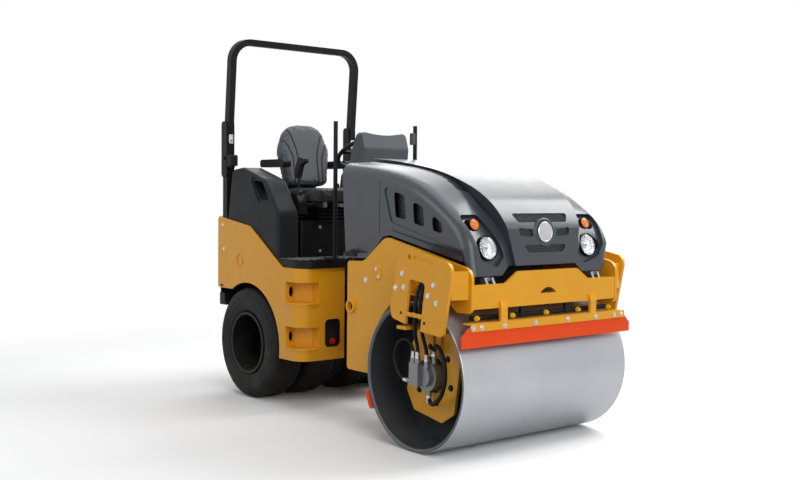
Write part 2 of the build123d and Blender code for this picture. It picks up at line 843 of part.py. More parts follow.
def shoulders(inset):
    line = inset_line(shoulder_line, inset)
    width = hood_half_width - inset
    with BuildPart() as form:
        with BuildSketch(Plane.XZ.offset(-width)):
            with BuildLine():
                top = Spline(*line)
                Polyline(top @ 1, (hood_front_x - inset, hood_chin_z), (hood_front_x - inset, floor_z),
                         (hood_rear_x + inset, floor_z), top @ 0)
            make_face()
        extrude(amount=2 * width)
        edges = form.edges().filter_by(lambda edge: abs(edge.center().Y) > width - 1)
        edges = edges.filter_by(lambda edge: edge.center().Z > hood_chin_z - hood_shoulder_round)
        fillet(edges.filter_by(lambda edge: edge.center().X > crease_x), hood_shoulder_round - inset)
    return form.part


def spine(inset):
    line = inset_line(spine_line, inset)
    rear_z = spine_line[0][1]
    right = Plane(origin=(hood_rear_x, -spine_rear_half_width + inset, rear_z), x_dir=spine_run,
                  z_dir=spine_run.cross(spine_drop))
    left_run = Vector(spine_run.X, -spine_run.Y, spine_run.Z)
    left_drop = Vector(spine_drop.X, -spine_drop.Y, spine_drop.Z)
    left = Plane(origin=(hood_rear_x, spine_rear_half_width - inset, rear_z), x_dir=left_run,
                 z_dir=left_run.cross(left_drop))
    with BuildPart() as form:
        with BuildSketch(Plane.XZ.offset(-hood_half_width)):
            with BuildLine():
                top = Spline(*line)
                Polyline(top @ 1, (spine_front_x - inset, spine_chin_z), (spine_front_x - inset, floor_z),
                         (hood_rear_x + inset, floor_z), top @ 0)
            make_face()
        extrude(amount=2 * hood_half_width)
        split(bisect_by=right, keep=Keep.TOP if right.z_dir.Y > 0 else Keep.BOTTOM)
        split(bisect_by=left, keep=Keep.TOP if left.z_dir.Y < 0 else Keep.BOTTOM)
    return form.part


def pod(side, growth):
    outline = [(side * (hood_half_width - inset), z) for inset, z in pod_outline]
    with BuildPart() as form:
        with BuildSketch(Plane.YZ.offset(turn_lamp_x - 2 * turn_lamp_depth)):
            with BuildLine():
                FilletPolyline(*outline, radius=pod_round, close=True)
            make_face()
            offset(amount=growth)
        extrude(amount=4 * turn_lamp_depth)
    return form.part


outer_shoulders = shoulders(0)
outer_spine = spine(0)
inner_shoulders = shoulders(hood_wall)
inner_spine = spine(hood_wall)
pod_floor = shoulders(pod_depth)
pod_back = shoulders(pod_depth + hood_wall)
pods = [pod(-1, 0), pod(1, 0)]
pod_walls = [pod(-1, hood_wall), pod(1, hood_wall)]
with BuildPart() as hood_cavity:
    add(inner_shoulders)
    add(pod_walls, mode=Mode.SUBTRACT)
    add(pod_back)
    add(inner_spine)

with BuildPart() as pod_hollows:
    add(pods)
    add(pod_floor, mode=Mode.SUBTRACT)

head_planes = [tilted_plane(head_lamp_x, side * head_lamp_y, head_lamp_z, lamp_tilt) for side in (-1, 1)]
turn_planes = [tilted_plane(turn_lamp_x, side * turn_lamp_y, turn_lamp_z, turn_lamp_tilt) for side in (-1, 1)]
nose_cut_low = beam_shoulder_half_width + nose_side_gap
nose_cut_high = beam_middle_half_width + nose_side_gap
nose_cut_z = beam_middle_top_z + nose_top_gap
under_hood = [(blade_x, hood_chin_z), (blade_x, floor_z), (0, floor_z), (0, hood_edge[0][1])]
lip_outline = hood_edge[:4] + [(x, z + hood_lip_height) for x, z in reversed(hood_edge[:4])]
lip_rounds = [0] + hood_edge_rounds[:2] + [0, 0] + hood_edge_rounds[1::-1] + [0]
with BuildPart() as hood:
    add(outer_shoulders)
    add(outer_spine)
    add(hood_cavity.part, mode=Mode.SUBTRACT)
    add(pod_hollows.part, mode=Mode.SUBTRACT)
    plate(hood_edge + under_hood, -hood_half_width, hood_half_width, mode=Mode.SUBTRACT,
          rounds=[0] + hood_edge_rounds + [0, 0, 0, 0, 0])
    cross_plate([(-nose_cut_low, beam_side_top_z), (nose_cut_low, beam_side_top_z), (nose_cut_high, nose_cut_z),
                 (-nose_cut_high, nose_cut_z)], turn_lamp_x, spine_front_x, mode=Mode.SUBTRACT)
    for low, high in ((-hood_half_width - hood_lip_reach, -hood_half_width + hood_wall / 2),
                      (hood_half_width - hood_wall / 2, hood_half_width + hood_lip_reach)):
        plate(lip_outline, low, high, rounds=lip_rounds)
    for skin, inside in ((-hood_half_width, -hood_half_width + hood_wall),
                         (hood_half_width, hood_half_width - hood_wall)):
        field = skin + vent_field_depth if skin < 0 else skin - vent_field_depth
        plate(vent_field, min(skin, field), max(skin, field), mode=Mode.SUBTRACT, rounds=vent_field_rounds)
        for vent in vents:
            plate(vent, min(skin, inside), max(skin, inside), mode=Mode.SUBTRACT, rounds=vent_round)
        seam = skin + crease_depth if skin < 0 else skin - crease_depth
        block(crease_x, crease_x + crease_width, min(skin, seam), max(skin, seam), hood_edge[2][1],
              shoulder_line[1][1] - hood_shoulder_round, mode=Mode.SUBTRACT)
    for plane in head_planes:
        tilted_pin(plane, -2 * head_lamp_depth, head_lamp_depth, head_lamp_radius, mode=Mode.SUBTRACT)
    for plane in turn_planes:
        tilted_pin(plane, -turn_lamp_depth, turn_lamp_depth, turn_lamp_radius, mode=Mode.SUBTRACT)
    for row in grille_rows:
        cross_plate(row, turn_lamp_x, spine_front_x, mode=Mode.SUBTRACT, rounds=grille_round)
    nose_plane = tilted_plane(spine_line[-1][0], 0, nose_disc_z, nose_lean)
    tilted_pin(nose_plane, 0, nose_disc_height, nose_disc_radius)
    for side in (-hinge_y, hinge_y):
        low = side - hinge_lug_width / 2
        high = side + hinge_lug_width / 2
        plate([(hinge_x - hinge_lug_reach, hinge_lug_top_z), (hinge_x - hinge_lug_reach, hinge_z),
               (hinge_x, hinge_z - hinge_lug_reach), (hinge_x + hinge_lug_nose, hinge_z),
               (hinge_x - hinge_lug_top_reach, hinge_lug_top_z)], low, high)
        cross_pin(hinge_x, hinge_z, low, high, hinge_pin_radius + running_clearance, mode=Mode.SUBTRACT)
hood.part.label = "hood"
export_step(hood.part, "parts/hood.step")

mesh_back = spine(hood_wall + mesh_thickness)
with BuildPart() as hood_mesh:
    add(inner_spine)
    add(mesh_back, mode=Mode.SUBTRACT)
    top_row = grille_rows[0]
    bottom_row = grille_rows[-1]
    block(turn_lamp_x, spine_front_x, top_row[0][0] - mesh_overlap / 2, top_row[1][0] + mesh_overlap / 2,
          bottom_row[2][1] - mesh_overlap, top_row[0][1] + mesh_overlap, mode=Mode.INTERSECT)
    for low in (-hood_half_width + hood_wall, hood_half_width - hood_wall - mesh_thickness):
        for vent in vents:
            with BuildSketch(Plane.XZ.offset(-low - mesh_thickness)) as face:
                with BuildLine():
                    FilletPolyline(*vent, radius=vent_round, close=True)
                make_face()
                offset(amount=mesh_overlap)
            extrude(face.sketch, amount=mesh_thickness)
hood_mesh.part.label = "hood_mesh"
export_step(hood_mesh.part, "parts/hood_mesh.step")


# A lamp is a drum with a shallow domed lens
def lamp(plane, depth, radius):
    side = Plane(origin=plane.origin, x_dir=plane.x_dir, z_dir=-plane.y_dir)
    with BuildSketch(side) as face:
        with BuildLine():
            Polyline((0, lamp_dome), (0, -depth), (radius, -depth), (radius, 0))
            TangentArc((0, lamp_dome), (radius, 0), tangent=(1, 0))
        make_face()
    revolve(face.sketch, axis=Axis(plane.origin, plane.z_dir))


with BuildPart() as head_lamps:
    for plane in head_planes:
        lamp(plane, head_lamp_depth, head_lamp_radius)
head_lamps.part.label = "head_lamps"
export_step(head_lamps.part, "parts/head_lamps.step")

with BuildPart() as turn_lamps:
    for plane in turn_planes:
        lamp(plane, turn_lamp_depth, turn_lamp_radius)
turn_lamps.part.label = "turn_lamps"
export_step(turn_lamps.part, "parts/turn_lamps.step")

with BuildPart() as hood_hinges:
    hinge_half = hinge_lug_width / 2 + hinge_cheek + hinge_cheek_gap
    for side in (-hinge_y, hinge_y):
        cross_pin(hinge_x, hinge_z, side - hinge_half, side + hinge_half, hinge_pin_radius)
        for edge in (side - hinge_half, side + hinge_half - hinge_cheek):
            plate([(hinge_x - hinge_cheek_reach, hinge_z - hinge_cheek_heel),
                   (hinge_x - hinge_cheek_reach, hinge_z + hinge_cheek_reach),
                   (hinge_x + hinge_cheek_reach, hinge_z + hinge_cheek_reach),
                   (beam_back_x, beam_side_top_z), (beam_back_x, beam_side_top_z - hinge_cheek_root)],
                  edge, edge + hinge_cheek)
hood_hinges.part.label = "hood_hinges"
export_step(hood_hinges.part, "parts/hood_hinges.step")

# Rubber latches that hook over the hood's lip
with BuildPart() as hood_latches:
    lip_face = hood_half_width + hood_lip_reach
    for low in (-lip_face - latch_thickness, lip_face):
        plate([(latch_x, latch_low_z), (latch_x + latch_length, latch_low_z),
               (latch_x + latch_length, latch_low_z + latch_height), (latch_x, latch_low_z + latch_height)],
              low, low + latch_thickness, rounds=[12, 5, 5, 12])
hood_latches.part.label = "hood_latches"
export_step(hood_latches.part, "parts/hood_latches.step")

# Steering joint: ears on the rear frame, a knuckle on an upright pin, and its swing shaft
ear_low = pivot_z - ear_gap / 2
ear_high = pivot_z + ear_gap / 2
eye_low = pivot_z - rod_eye_height / 2
lever_high = eye_low - rod_eye_gap
with BuildPart() as knuckle:
    level_plate([(pivot_x - knuckle_rear, -knuckle_half_width), (pivot_x + knuckle_front, -knuckle_half_width),
                 (pivot_x + knuckle_front, knuckle_half_width), (pivot_x - knuckle_rear, knuckle_half_width)],
                ear_low + knuckle_gap, ear_high - knuckle_gap, rounds=[knuckle_round, 0, 0, knuckle_round])
    upright_pin(pivot_x, 0, ear_low - ear_thickness - steer_pin_stand,
                ear_high + ear_thickness + steer_pin_stand, steer_pin_radius)
    long_pin(0, pivot_z, pivot_x + knuckle_front, wall_front_x, swing_shaft_radius)
    block(pivot_x - lever_radius, pivot_x + lever_radius, lever_y, 0, lever_high - lever_thickness, lever_high)
    upright_pin(pivot_x, lever_y, lever_high - lever_thickness, lever_high, lever_radius)
knuckle.part.label = "knuckle"
export_step(knuckle.part, "parts/knuckle.step")

with BuildPart() as steer_barrel:
    long_pin(lever_y, pivot_z, barrel_rear_x, barrel_front_x, barrel_radius)
    block(barrel_rear_x - barrel_foot, barrel_rear_x + barrel_foot, lever_y, -spine_half_width,
          pivot_z - barrel_foot, pivot_z + barrel_foot)
    long_pin(lever_y, pivot_z, barrel_rear_x + barrel_end_wall, barrel_front_x, rod_radius + running_clearance,
             mode=Mode.SUBTRACT)
steer_barrel.part.label = "steer_barrel"
export_step(steer_barrel.part, "parts/steer_barrel.step")

with BuildPart() as steer_rod:
    long_pin(lever_y, pivot_z, rod_start_x, pivot_x - rod_eye_radius / 2, rod_radius)
    upright_pin(pivot_x, lever_y, eye_low, pivot_z + rod_eye_height / 2, rod_eye_radius)
steer_rod.part.label = "steer_rod"
export_step(steer_rod.part, "parts/steer_rod.step")

# Rear frame: a slab over the tyres, a spine between them that holds the axle, and the steering ears
skirt_inner = skirt_face - skirt_thickness
slab_front_x = skirt_front_x - skirt_thickness
tail_inner_x = skirt_rear_x + tail_thickness
with BuildPart() as rear_chassis:
    block(tail_inner_x, slab_front_x, -skirt_inner, skirt_inner, slab_bottom_z, skirt_top_z)
    fillet(rear_chassis.edges().filter_by(Axis.Z).sort_by(Axis.X)[-2:], skirt_corner_radius - skirt_thickness)
    for low, high in ((-skirt_inner, -step_inner_y), (step_inner_y, skirt_inner)):
        block(step_rear_x, slab_front_x, low, high, slab_bottom_z, step_high_top_z + step_shelf,
              mode=Mode.SUBTRACT)
    block(axle_x - axle_block_reach, slab_front_x, -spine_half_width, spine_half_width,
          spine_bottom_z, slab_bottom_z)
    for low in (ear_low - ear_thickness, ear_high):
        block(slab_front_x - ear_root, pivot_x, -ear_radius, ear_radius, low, low + ear_thickness)
        upright_pin(pivot_x, 0, low, low + ear_thickness, ear_radius)
        upright_pin(pivot_x, 0, low, low + ear_thickness, steer_pin_radius + running_clearance,
                    mode=Mode.SUBTRACT)
    cross_pin(axle_x, tyre_radius, -spine_half_width, spine_half_width, axle_radius, mode=Mode.SUBTRACT)
rear_chassis.part.label = "rear_chassis"
export_step(rear_chassis.part, "parts/rear_chassis.step")

# Skirts: a sheet bent round the front corner, cut over the tyre, with two step pockets
corner_x = skirt_front_x - skirt_corner_radius
corner_y = skirt_face - skirt_corner_radius
side_outline = [(skirt_rear_x, skirt_rear_bottom_z), (skirt_rear_x, skirt_rear_top_z), skirt_shoulder,
                (skirt_foot_x, skirt_top_z), (0, skirt_top_z), (0, skirt_bottom_z), (axle_x, skirt_bottom_z),
                (axle_x, skirt_rear_bottom_z)]
side_rounds = [skirt_rear_foot_round, skirt_rear_top_round, skirt_shoulder_round, skirt_foot_round, 0, 0, 0, 0]


# The outline of a piece that follows the bent corner at a given distance from the skirt's face
def corner_line(reach, rear_x, inner_y):
    radius = skirt_corner_radius + reach
    with BuildLine() as line:
        Line((skirt_front_x + reach, -inner_y), (skirt_front_x + reach, -corner_y))
        CenterArc((corner_x, -corner_y), radius, 0, -90)
        Line((corner_x, -skirt_face - reach), (rear_x, -skirt_face - reach))
    return line.wires()[0]


def corner_piece(outer_reach, inner_reach, rear_x, inner_y, z_low, z_high, mode=Mode.ADD):
    outer = corner_line(outer_reach, rear_x, inner_y)
    inside = corner_line(inner_reach, rear_x, inner_y)
    with BuildSketch(Plane.XY.offset(z_low)) as face:
        with BuildLine():
            add(outer)
            add(inside)
            Line(outer @ 0, inside @ 0)
            Line(outer @ 1, inside @ 1)
        make_face()
    extrude(face.sketch, amount=z_high - z_low, mode=mode)


with BuildPart() as rear_skirt_right:
    corner_piece(0, -skirt_thickness, skirt_rear_x, skirt_inner_y, skirt_bottom_z, skirt_rear_top_z)
    plate(side_outline, -skirt_face, 0, mode=Mode.INTERSECT, rounds=side_rounds)
    cross_pin(axle_x, tyre_radius, -skirt_face, -skirt_inner, tyre_radius + tyre_arch_gap, mode=Mode.SUBTRACT)
    for low, high in ((step_low_z, step_low_top_z), (step_high_z, step_high_top_z)):
        with BuildSketch(Plane.XY.offset(low - step_shelf)) as tray:
            with BuildLine():
                Polyline((corner_x, -skirt_inner), (step_rear_x, -skirt_inner), (step_rear_x, -step_slant_y),
                         (step_slant_x, -step_inner_y), (slab_front_x, -step_inner_y),
                         (slab_front_x, -corner_y))
                CenterArc((corner_x, -corner_y), skirt_corner_radius - skirt_thickness, 0, -90)
            make_face()
        extrude(tray.sketch, amount=high - low + 2 * step_shelf)
        level_plate([(step_rear_x + step_wall, -skirt_face), (skirt_front_x, -skirt_face),
                     (skirt_front_x, -step_inner_y - step_wall),
                     (step_slant_x + step_wall / 2, -step_inner_y - step_wall),
                     (step_rear_x + step_wall, -step_slant_y - step_wall)], low, high, mode=Mode.SUBTRACT)
        with BuildSketch(Plane.YZ.offset(step_rear_x)) as hole:
            with Locations((-step_hole_y, (low + high) / 2)):
                Ellipse(step_hole_half_width, step_hole_half_height)
        extrude(hole.sketch, amount=step_wall, mode=Mode.SUBTRACT)
        corner_piece(step_lip_reach, -skirt_thickness, step_rear_x + step_wall, step_inner_y + step_wall,
                     low - step_lip_height, low)
    cross_plate([(-hatch_outer_y, hatch_low_z), (-hatch_inner_y, hatch_low_z), (-hatch_inner_y, hatch_high_z),
                 (-hatch_outer_y, hatch_high_z)], slab_front_x, skirt_front_x, mode=Mode.SUBTRACT,
                rounds=hatch_round)
    cross_pin(filler_x, filler_z, -skirt_face, -skirt_face + filler_depth, filler_radius, mode=Mode.SUBTRACT)
    cross_pin(filler_x, filler_z, -skirt_face, -skirt_face + filler_depth, filler_cap_radius)
rear_skirt_right.part.label = "rear_skirt_right"
export_step(rear_skirt_right.part, "parts/rear_skirt_right.step")

with BuildPart() as rear_skirt_left:
    mirror(rear_skirt_right.part, about=Plane.XZ)
rear_skirt_left.part.label = "rear_skirt_left"
export_step(rear_skirt_left.part, "parts/rear_skirt_left.step")

with BuildPart() as tail_panel:
    block(skirt_rear_x, tail_inner_x, -skirt_inner, skirt_inner, skirt_rear_bottom_z, skirt_rear_top_z)
    cross_plate([(-tail_field_half_width, tail_field_low_z), (tail_field_half_width, tail_field_low_z),
                 (tail_field_half_width, tail_field_high_z), (-tail_field_half_width, tail_field_high_z)],
                skirt_rear_x, skirt_rear_x + tail_field_depth, mode=Mode.SUBTRACT, rounds=tail_field_round)
tail_panel.part.label = "tail_panel"
export_step(tail_panel.part, "parts/tail_panel.step")

with BuildPart() as tail_lamps:
    for side in (-tail_lamp_y, tail_lamp_y):
        low = side - tail_lamp_half_width
        high = side + tail_lamp_half_width
        cross_plate([(low, tail_lamp_low_z), (high, tail_lamp_low_z),
                     (high, tail_lamp_high_z), (low, tail_lamp_high_z)],
                    skirt_rear_x - tail_lamp_depth, skirt_rear_x, rounds=tail_lamp_round)
tail_lamps.part.label = "tail_lamps"
export_step(tail_lamps.part, "parts/tail_lamps.step")

# Tyre scrapers: one bent sheet across all four treads with a holder at each end
with BuildPart() as tyre_scrapers:
    tip_x, tip_z = tyre_scraper_tip
    plate([(tail_inner_x, tyre_scraper_top_z), (tail_inner_x, tyre_scraper_bend_z), (tip_x, tip_z),
           (tip_x + tyre_scraper_thickness / 2, tip_z + tyre_scraper_thickness / 2),
           (tail_inner_x + tyre_scraper_thickness, tyre_scraper_bend_z),
           (tail_inner_x + tyre_scraper_thickness, tyre_scraper_top_z)],
          -tyre_scraper_half_width, tyre_scraper_half_width)
    for low in (-tyre_scraper_half_width, tyre_scraper_half_width - scraper_box_width):
        block(skirt_rear_x, scraper_box_front_x, low, low + scraper_box_width,
              scraper_box_low_z, scraper_box_high_z)
tyre_scrapers.part.label = "tyre_scrapers"
export_step(tyre_scrapers.part, "parts/tyre_scrapers.step")

with BuildPart() as rear_axle:
    cross_pin(axle_x, tyre_radius, -axle_half_length, axle_half_length, axle_radius)
rear_axle.part.label = "rear_axle"
export_step(rear_axle.part, "parts/rear_axle.step")

# Twin wheels: each pair of rims is one turned piece that runs on the axle
outer_low = tyre_outer_face - tyre_width
inner_high = outer_low - twin_gap
inner_low = inner_high - tyre_width
with BuildPart() as rims_left:
    bore = axle_radius + running_clearance
    drop = rim_radius - rim_thickness
    hub_start = spine_half_width + wheel_gap
    inner_disc = inner_high - rim_inset - rim_disc_thickness
    outer_disc = outer_low + rim_inset + rim_disc_thickness
    turned([(hub_start, bore), (hub_start, hub_radius), (inner_disc, hub_radius), (inner_disc, drop),
            (inner_low + rim_inset, drop), (inner_low + rim_inset, rim_radius),
            (inner_high - rim_inset, rim_radius),
            (inner_high - rim_inset, hub_radius), (outer_low + rim_inset, hub_radius),
            (outer_low + rim_inset, rim_radius), (tyre_outer_face - rim_inset, rim_radius),
            (tyre_outer_face - rim_inset, drop), (outer_disc, drop), (outer_disc, hub_cap_radius),
            (hub_end, hub_cap_radius), (hub_end, bore)], axle_x, tyre_radius)
rims_left.part.label = "rims_left"
export_step(rims_left.part, "parts/rims_left.step")

with BuildPart() as rims_right:
    mirror(rims_left.part, about=Plane.XZ)
rims_right.part.label = "rims_right"
export_step(rims_right.part, "parts/rims_right.step")


# Smooth treads: bead, bulged wall and rounded shoulder on each side
def tyre_profile(low, high):
    wall = [(inset, rim_radius + rise) for inset, rise in tyre_wall]
    wall += [(tyre_shoulder_inset, tyre_radius - tyre_shoulder_drop), (tread_inset, tyre_radius)]
    far_wall = [(high - inset, radius) for inset, radius in reversed(wall)]
    return [(low + inset, radius) for inset, radius in wall] + far_wall


with BuildPart() as tyres_left:
    turned(tyre_profile(inner_low, inner_high), axle_x, tyre_radius)
    turned(tyre_profile(outer_low, tyre_outer_face), axle_x, tyre_radius)
tyres_left.part.label = "tyres_left"
export_step(tyres_left.part, "parts/tyres_left.step")

with BuildPart() as tyres_right:
    mirror(tyres_left.part, about=Plane.XZ)
tyres_right.part.label = "tyres_right"
export_step(tyres_right.part, "parts/tyres_right.step")

# Operator's place: deck, side consoles, seat on its pedestal, steering column and grab rails
with BuildPart() as deck:
    block(tail_inner_x, deck_front_x, -skirt_inner, skirt_inner, skirt_top_z, deck_top_z)
    fillet(deck.edges().filter_by(Axis.Z).sort_by(Axis.X)[-2:], skirt_corner_radius)
deck.part.label = "deck"
export_step(deck.part, "parts/deck.step")

with BuildPart() as seat_pedestal:
    block(pedestal_rear_x, pedestal_front_x, -pedestal_half_width, pedestal_half_width,
          deck_top_z, pedestal_top_z)
    fillet(seat_pedestal.edges().filter_by(Axis.Z).sort_by(Axis.X)[-2:], pedestal_round)
seat_pedestal.part.label = "seat_pedestal"
export_step(seat_pedestal.part, "parts/seat_pedestal.step")

console_inner = -seat_y + seat_width / 2 + arm_pad_gap + arm_pad_width + console_gap
with BuildPart() as console_right:
    plate([(console_rear_x, deck_top_z)] + console_top + [(console_front_x, deck_top_z)],
          -console_face, -console_inner, rounds=[0] + console_rounds + [0])
    side_edges = console_right.faces().filter_by(Axis.Y).edges()
    fillet(side_edges.filter_by(lambda edge: edge.center().Z > deck_top_z + 1), console_edge_round)
    plate(grip_field, -console_face, -console_face + grip_field_depth, mode=Mode.SUBTRACT,
          rounds=grip_field_round)
    plate(grip_outline, -console_face, -console_inner, mode=Mode.SUBTRACT, rounds=grip_round)
console_right.part.label = "console_right"
export_step(console_right.part, "parts/console_right.step")

with BuildPart() as console_left:
    mirror(console_right.part, about=Plane.XZ)
console_left.part.label = "console_left"
export_step(console_left.part, "parts/console_left.step")

# Seat base: a bellows folded on all four sides, cut from two folded profiles
base_top_z = cushion_bottom_z - rail_bar_height
fold_height = (base_top_z - pedestal_top_z) / base_folds


def folded(low, high):
    outline = []
    for fold in range(base_folds):
        outline.append((high, pedestal_top_z + fold * fold_height))
        outline.append((high - base_fold_depth, pedestal_top_z + (fold + 0.5) * fold_height))
    outline.append((high, base_top_z))
    return outline + [(low + high - side, z) for side, z in reversed(outline)]


with BuildPart() as seat_base:
    plate(folded(base_rear_x, base_front_x), seat_y - base_width / 2, seat_y + base_width / 2)
    cross_plate(folded(seat_y - base_width / 2, seat_y + base_width / 2), base_rear_x, base_front_x,
                mode=Mode.INTERSECT)
seat_base.part.label = "seat_base"
export_step(seat_base.part, "parts/seat_base.step")

with BuildPart() as seat_rails:
    for side in (seat_y - rail_bar_y, seat_y + rail_bar_y):
        block(rail_bar_rear_x, rail_bar_front_x, side - rail_bar_width / 2, side + rail_bar_width / 2,
              base_top_z, cushion_bottom_z)
seat_rails.part.label = "seat_rails"
export_step(seat_rails.part, "parts/seat_rails.step")

with BuildPart() as seat_cushion:
    block(cushion_rear_x, cushion_front_x, seat_y - seat_width / 2, seat_y + seat_width / 2,
          cushion_bottom_z, cushion_top_z)
    fillet(seat_cushion.edges().filter_by(Axis.Z), cushion_round)
seat_cushion.part.label = "seat_cushion"
export_step(seat_cushion.part, "parts/seat_cushion.step")

lean = radians(back_lean)
foot_x = cushion_rear_x + back_foot_reach
foot_z = cushion_top_z + back_gap
with BuildPart() as seat_back:
    with BuildSketch(tilted_plane(foot_x, seat_y, foot_z, back_lean)):
        with BuildLine():
            FilletPolyline((-back_foot_half_width, 0), (back_foot_half_width, 0), (back_half_width, back_widest),
                           (back_top_half_width, back_height), (-back_top_half_width, back_height),
                           (-back_half_width, back_widest), close=True,
                           radius=[back_foot_round, back_foot_round, back_side_round, back_top_round,
                                   back_top_round, back_side_round])
        make_face()
    extrude(amount=-back_thickness)
seat_back.part.label = "seat_back"
export_step(seat_back.part, "parts/seat_back.step")

# Seat frame: a shell behind the back, a foot to the base, and two arm pads on a cross bar
low_x = foot_x - back_thickness * cos(lean)
low_z = foot_z - back_thickness * sin(lean)
high_x = low_x - seat_shell_height * sin(lean)
high_z = low_z + seat_shell_height * cos(lean)
arm_inner = seat_width / 2 + arm_pad_gap
arm_reach = arm_inner + arm_pad_width
bar_rear_x = low_x - (arm_pad_top_z - arm_pad_thickness / 2 - low_z) * sin(lean) - arm_bar_depth - arm_bar_gap
pad_low = arm_pad_top_z - arm_pad_thickness
shell_foot_low = pedestal_top_z + seat_foot_low
shell_foot_high = pedestal_top_z + seat_foot_high
with BuildPart() as seat_frame:
    plate([(low_x, low_z), (high_x, high_z), (high_x - seat_shell_thickness, high_z),
           (low_x - seat_shell_thickness, low_z), (low_x - seat_shell_thickness, shell_foot_low),
           (base_rear_x, shell_foot_low), (base_rear_x, shell_foot_high), (low_x, shell_foot_high)],
          seat_y - seat_shell_half_width, seat_y + seat_shell_half_width)
    block(bar_rear_x, bar_rear_x + arm_bar_depth, seat_y - arm_reach, seat_y + arm_reach, pad_low + arm_bar_inset,
          arm_pad_top_z - arm_bar_inset)
    for low in (seat_y - arm_reach, seat_y + arm_inner):
        pad_rear_x = bar_rear_x - arm_pad_rear_reach
        plate([(pad_rear_x, pad_low), (arm_pad_front_x, pad_low), (arm_pad_front_x, arm_pad_top_z),
               (pad_rear_x, arm_pad_top_z)], low, low + arm_pad_width, rounds=arm_pad_round)
seat_frame.part.label = "seat_frame"
export_step(seat_frame.part, "parts/seat_frame.step")

# Drive lever: a booted stem with a grip on a housing that is bracketed to the seat's rail
housing_high = seat_y - arm_inner
housing_low = housing_high - arm_pad_width
housing_middle = (housing_low + housing_high) / 2
stem_side = Vector(cos(radians(lever_lean)), 0, -sin(radians(lever_lean)))
stem_plane = Plane(origin=(lever_foot_x, housing_middle, lever_foot_z), x_dir=stem_side, z_dir=(0, -1, 0))
with BuildPart() as drive_lever:
    plate(housing_outline, housing_low, housing_high, rounds=housing_rounds)
    block(housing_bracket_rear_x, housing_bracket_front_x, housing_low, seat_y - rail_bar_y - rail_bar_width / 2,
          base_top_z, base_top_z + rail_bar_height / 2)
    with BuildSketch(stem_plane):
        with BuildLine():
            Polyline(lever_stem, close=True)
        make_face()
    revolve(axis=Axis(stem_plane.origin, stem_plane.y_dir))
    plate(lever_grip, housing_middle - lever_grip_width / 2, housing_middle + lever_grip_width / 2,
          rounds=lever_grip_rounds)
drive_lever.part.label = "drive_lever"
export_step(drive_lever.part, "parts/drive_lever.step")

# Steering wheel with two spokes, its shaft ending on the column's sleeve
tilt = radians(wheel_tilt)
wheel_axis = Vector(-sin(tilt), 0, cos(tilt))
wheel_plane = Plane(origin=(wheel_x, 0, wheel_z), x_dir=(cos(tilt), 0, sin(tilt)), z_dir=wheel_axis)
with BuildPart() as steering_wheel:
    with BuildSketch(Plane(origin=wheel_plane.from_local_coords((wheel_rim_radius, 0, 0)), x_dir=wheel_axis,
                           z_dir=(0, 1, 0))):
        Circle(wheel_tube_radius)
    revolve(axis=Axis((wheel_x, 0, wheel_z), wheel_axis))
    with BuildSketch(wheel_plane):
        Rectangle(wheel_spoke_width, 2 * wheel_rim_radius)
        Circle(wheel_hub_radius)
    extrude(amount=wheel_spoke_half_thickness, both=True)
    tilted_pin(wheel_plane, -wheel_shaft_length, 0, wheel_shaft_radius)
steering_wheel.part.label = "steering_wheel"
export_step(steering_wheel.part, "parts/steering_wheel.step")

with BuildPart() as steering_column:
    plate([(column_foot_x - column_foot_depth, deck_top_z), (column_foot_x, deck_top_z),
           (column_x + column_top_front, dash_bottom_z), (column_x - column_top_rear, dash_bottom_z)],
          -column_width / 2, column_width / 2)
    tilted_pin(wheel_plane, -wheel_shaft_length - sleeve_length, -wheel_shaft_length, sleeve_radius)
    plate([(column_x + x, dash_bottom_z + z) for x, z in dash_outline], -dash_width / 2, dash_width / 2,
          mode=Mode.SUBTRACT, rounds=dash_rounds)
steering_column.part.label = "steering_column"
export_step(steering_column.part, "parts/steering_column.step")

# Dash: a padded-looking cover whose top dips in the middle
dash_top_z = dash_bottom_z + dash_height
with BuildPart() as dash:
    plate([(column_x + x, dash_bottom_z + z) for x, z in dash_outline], -dash_width / 2, dash_width / 2,
          rounds=dash_rounds)
    with BuildSketch(Plane.YZ.offset(column_x - dash_height)) as front_view:
        with BuildLine():
            half = dash_width / 2
            Polyline((half, dash_top_z), (half, dash_bottom_z), (-half, dash_bottom_z), (-half, dash_top_z))
            ThreePointArc((-half, dash_top_z), (0, dash_top_z - dash_dip), (half, dash_top_z))
        make_face()
        fillet(front_view.vertices().group_by(Axis.Y)[-1], dash_end_round)
    extrude(front_view.sketch, amount=2 * dash_height, mode=Mode.INTERSECT)
dash.part.label = "dash"
export_step(dash.part, "parts/dash.step")

with BuildPart() as grab_rails:
    for side in (-rail_y, rail_y):
        upright_pin(rail_x, side, deck_top_z, rail_top_z, rail_radius)
        block(rail_x - rail_foot_rear, rail_x + rail_foot_front, side - rail_foot_half_width,
              side + rail_foot_half_width, deck_top_z, deck_top_z + rail_foot_thickness)
grab_rails.part.label = "grab_rails"
export_step(grab_rails.part, "parts/grab_rails.step")

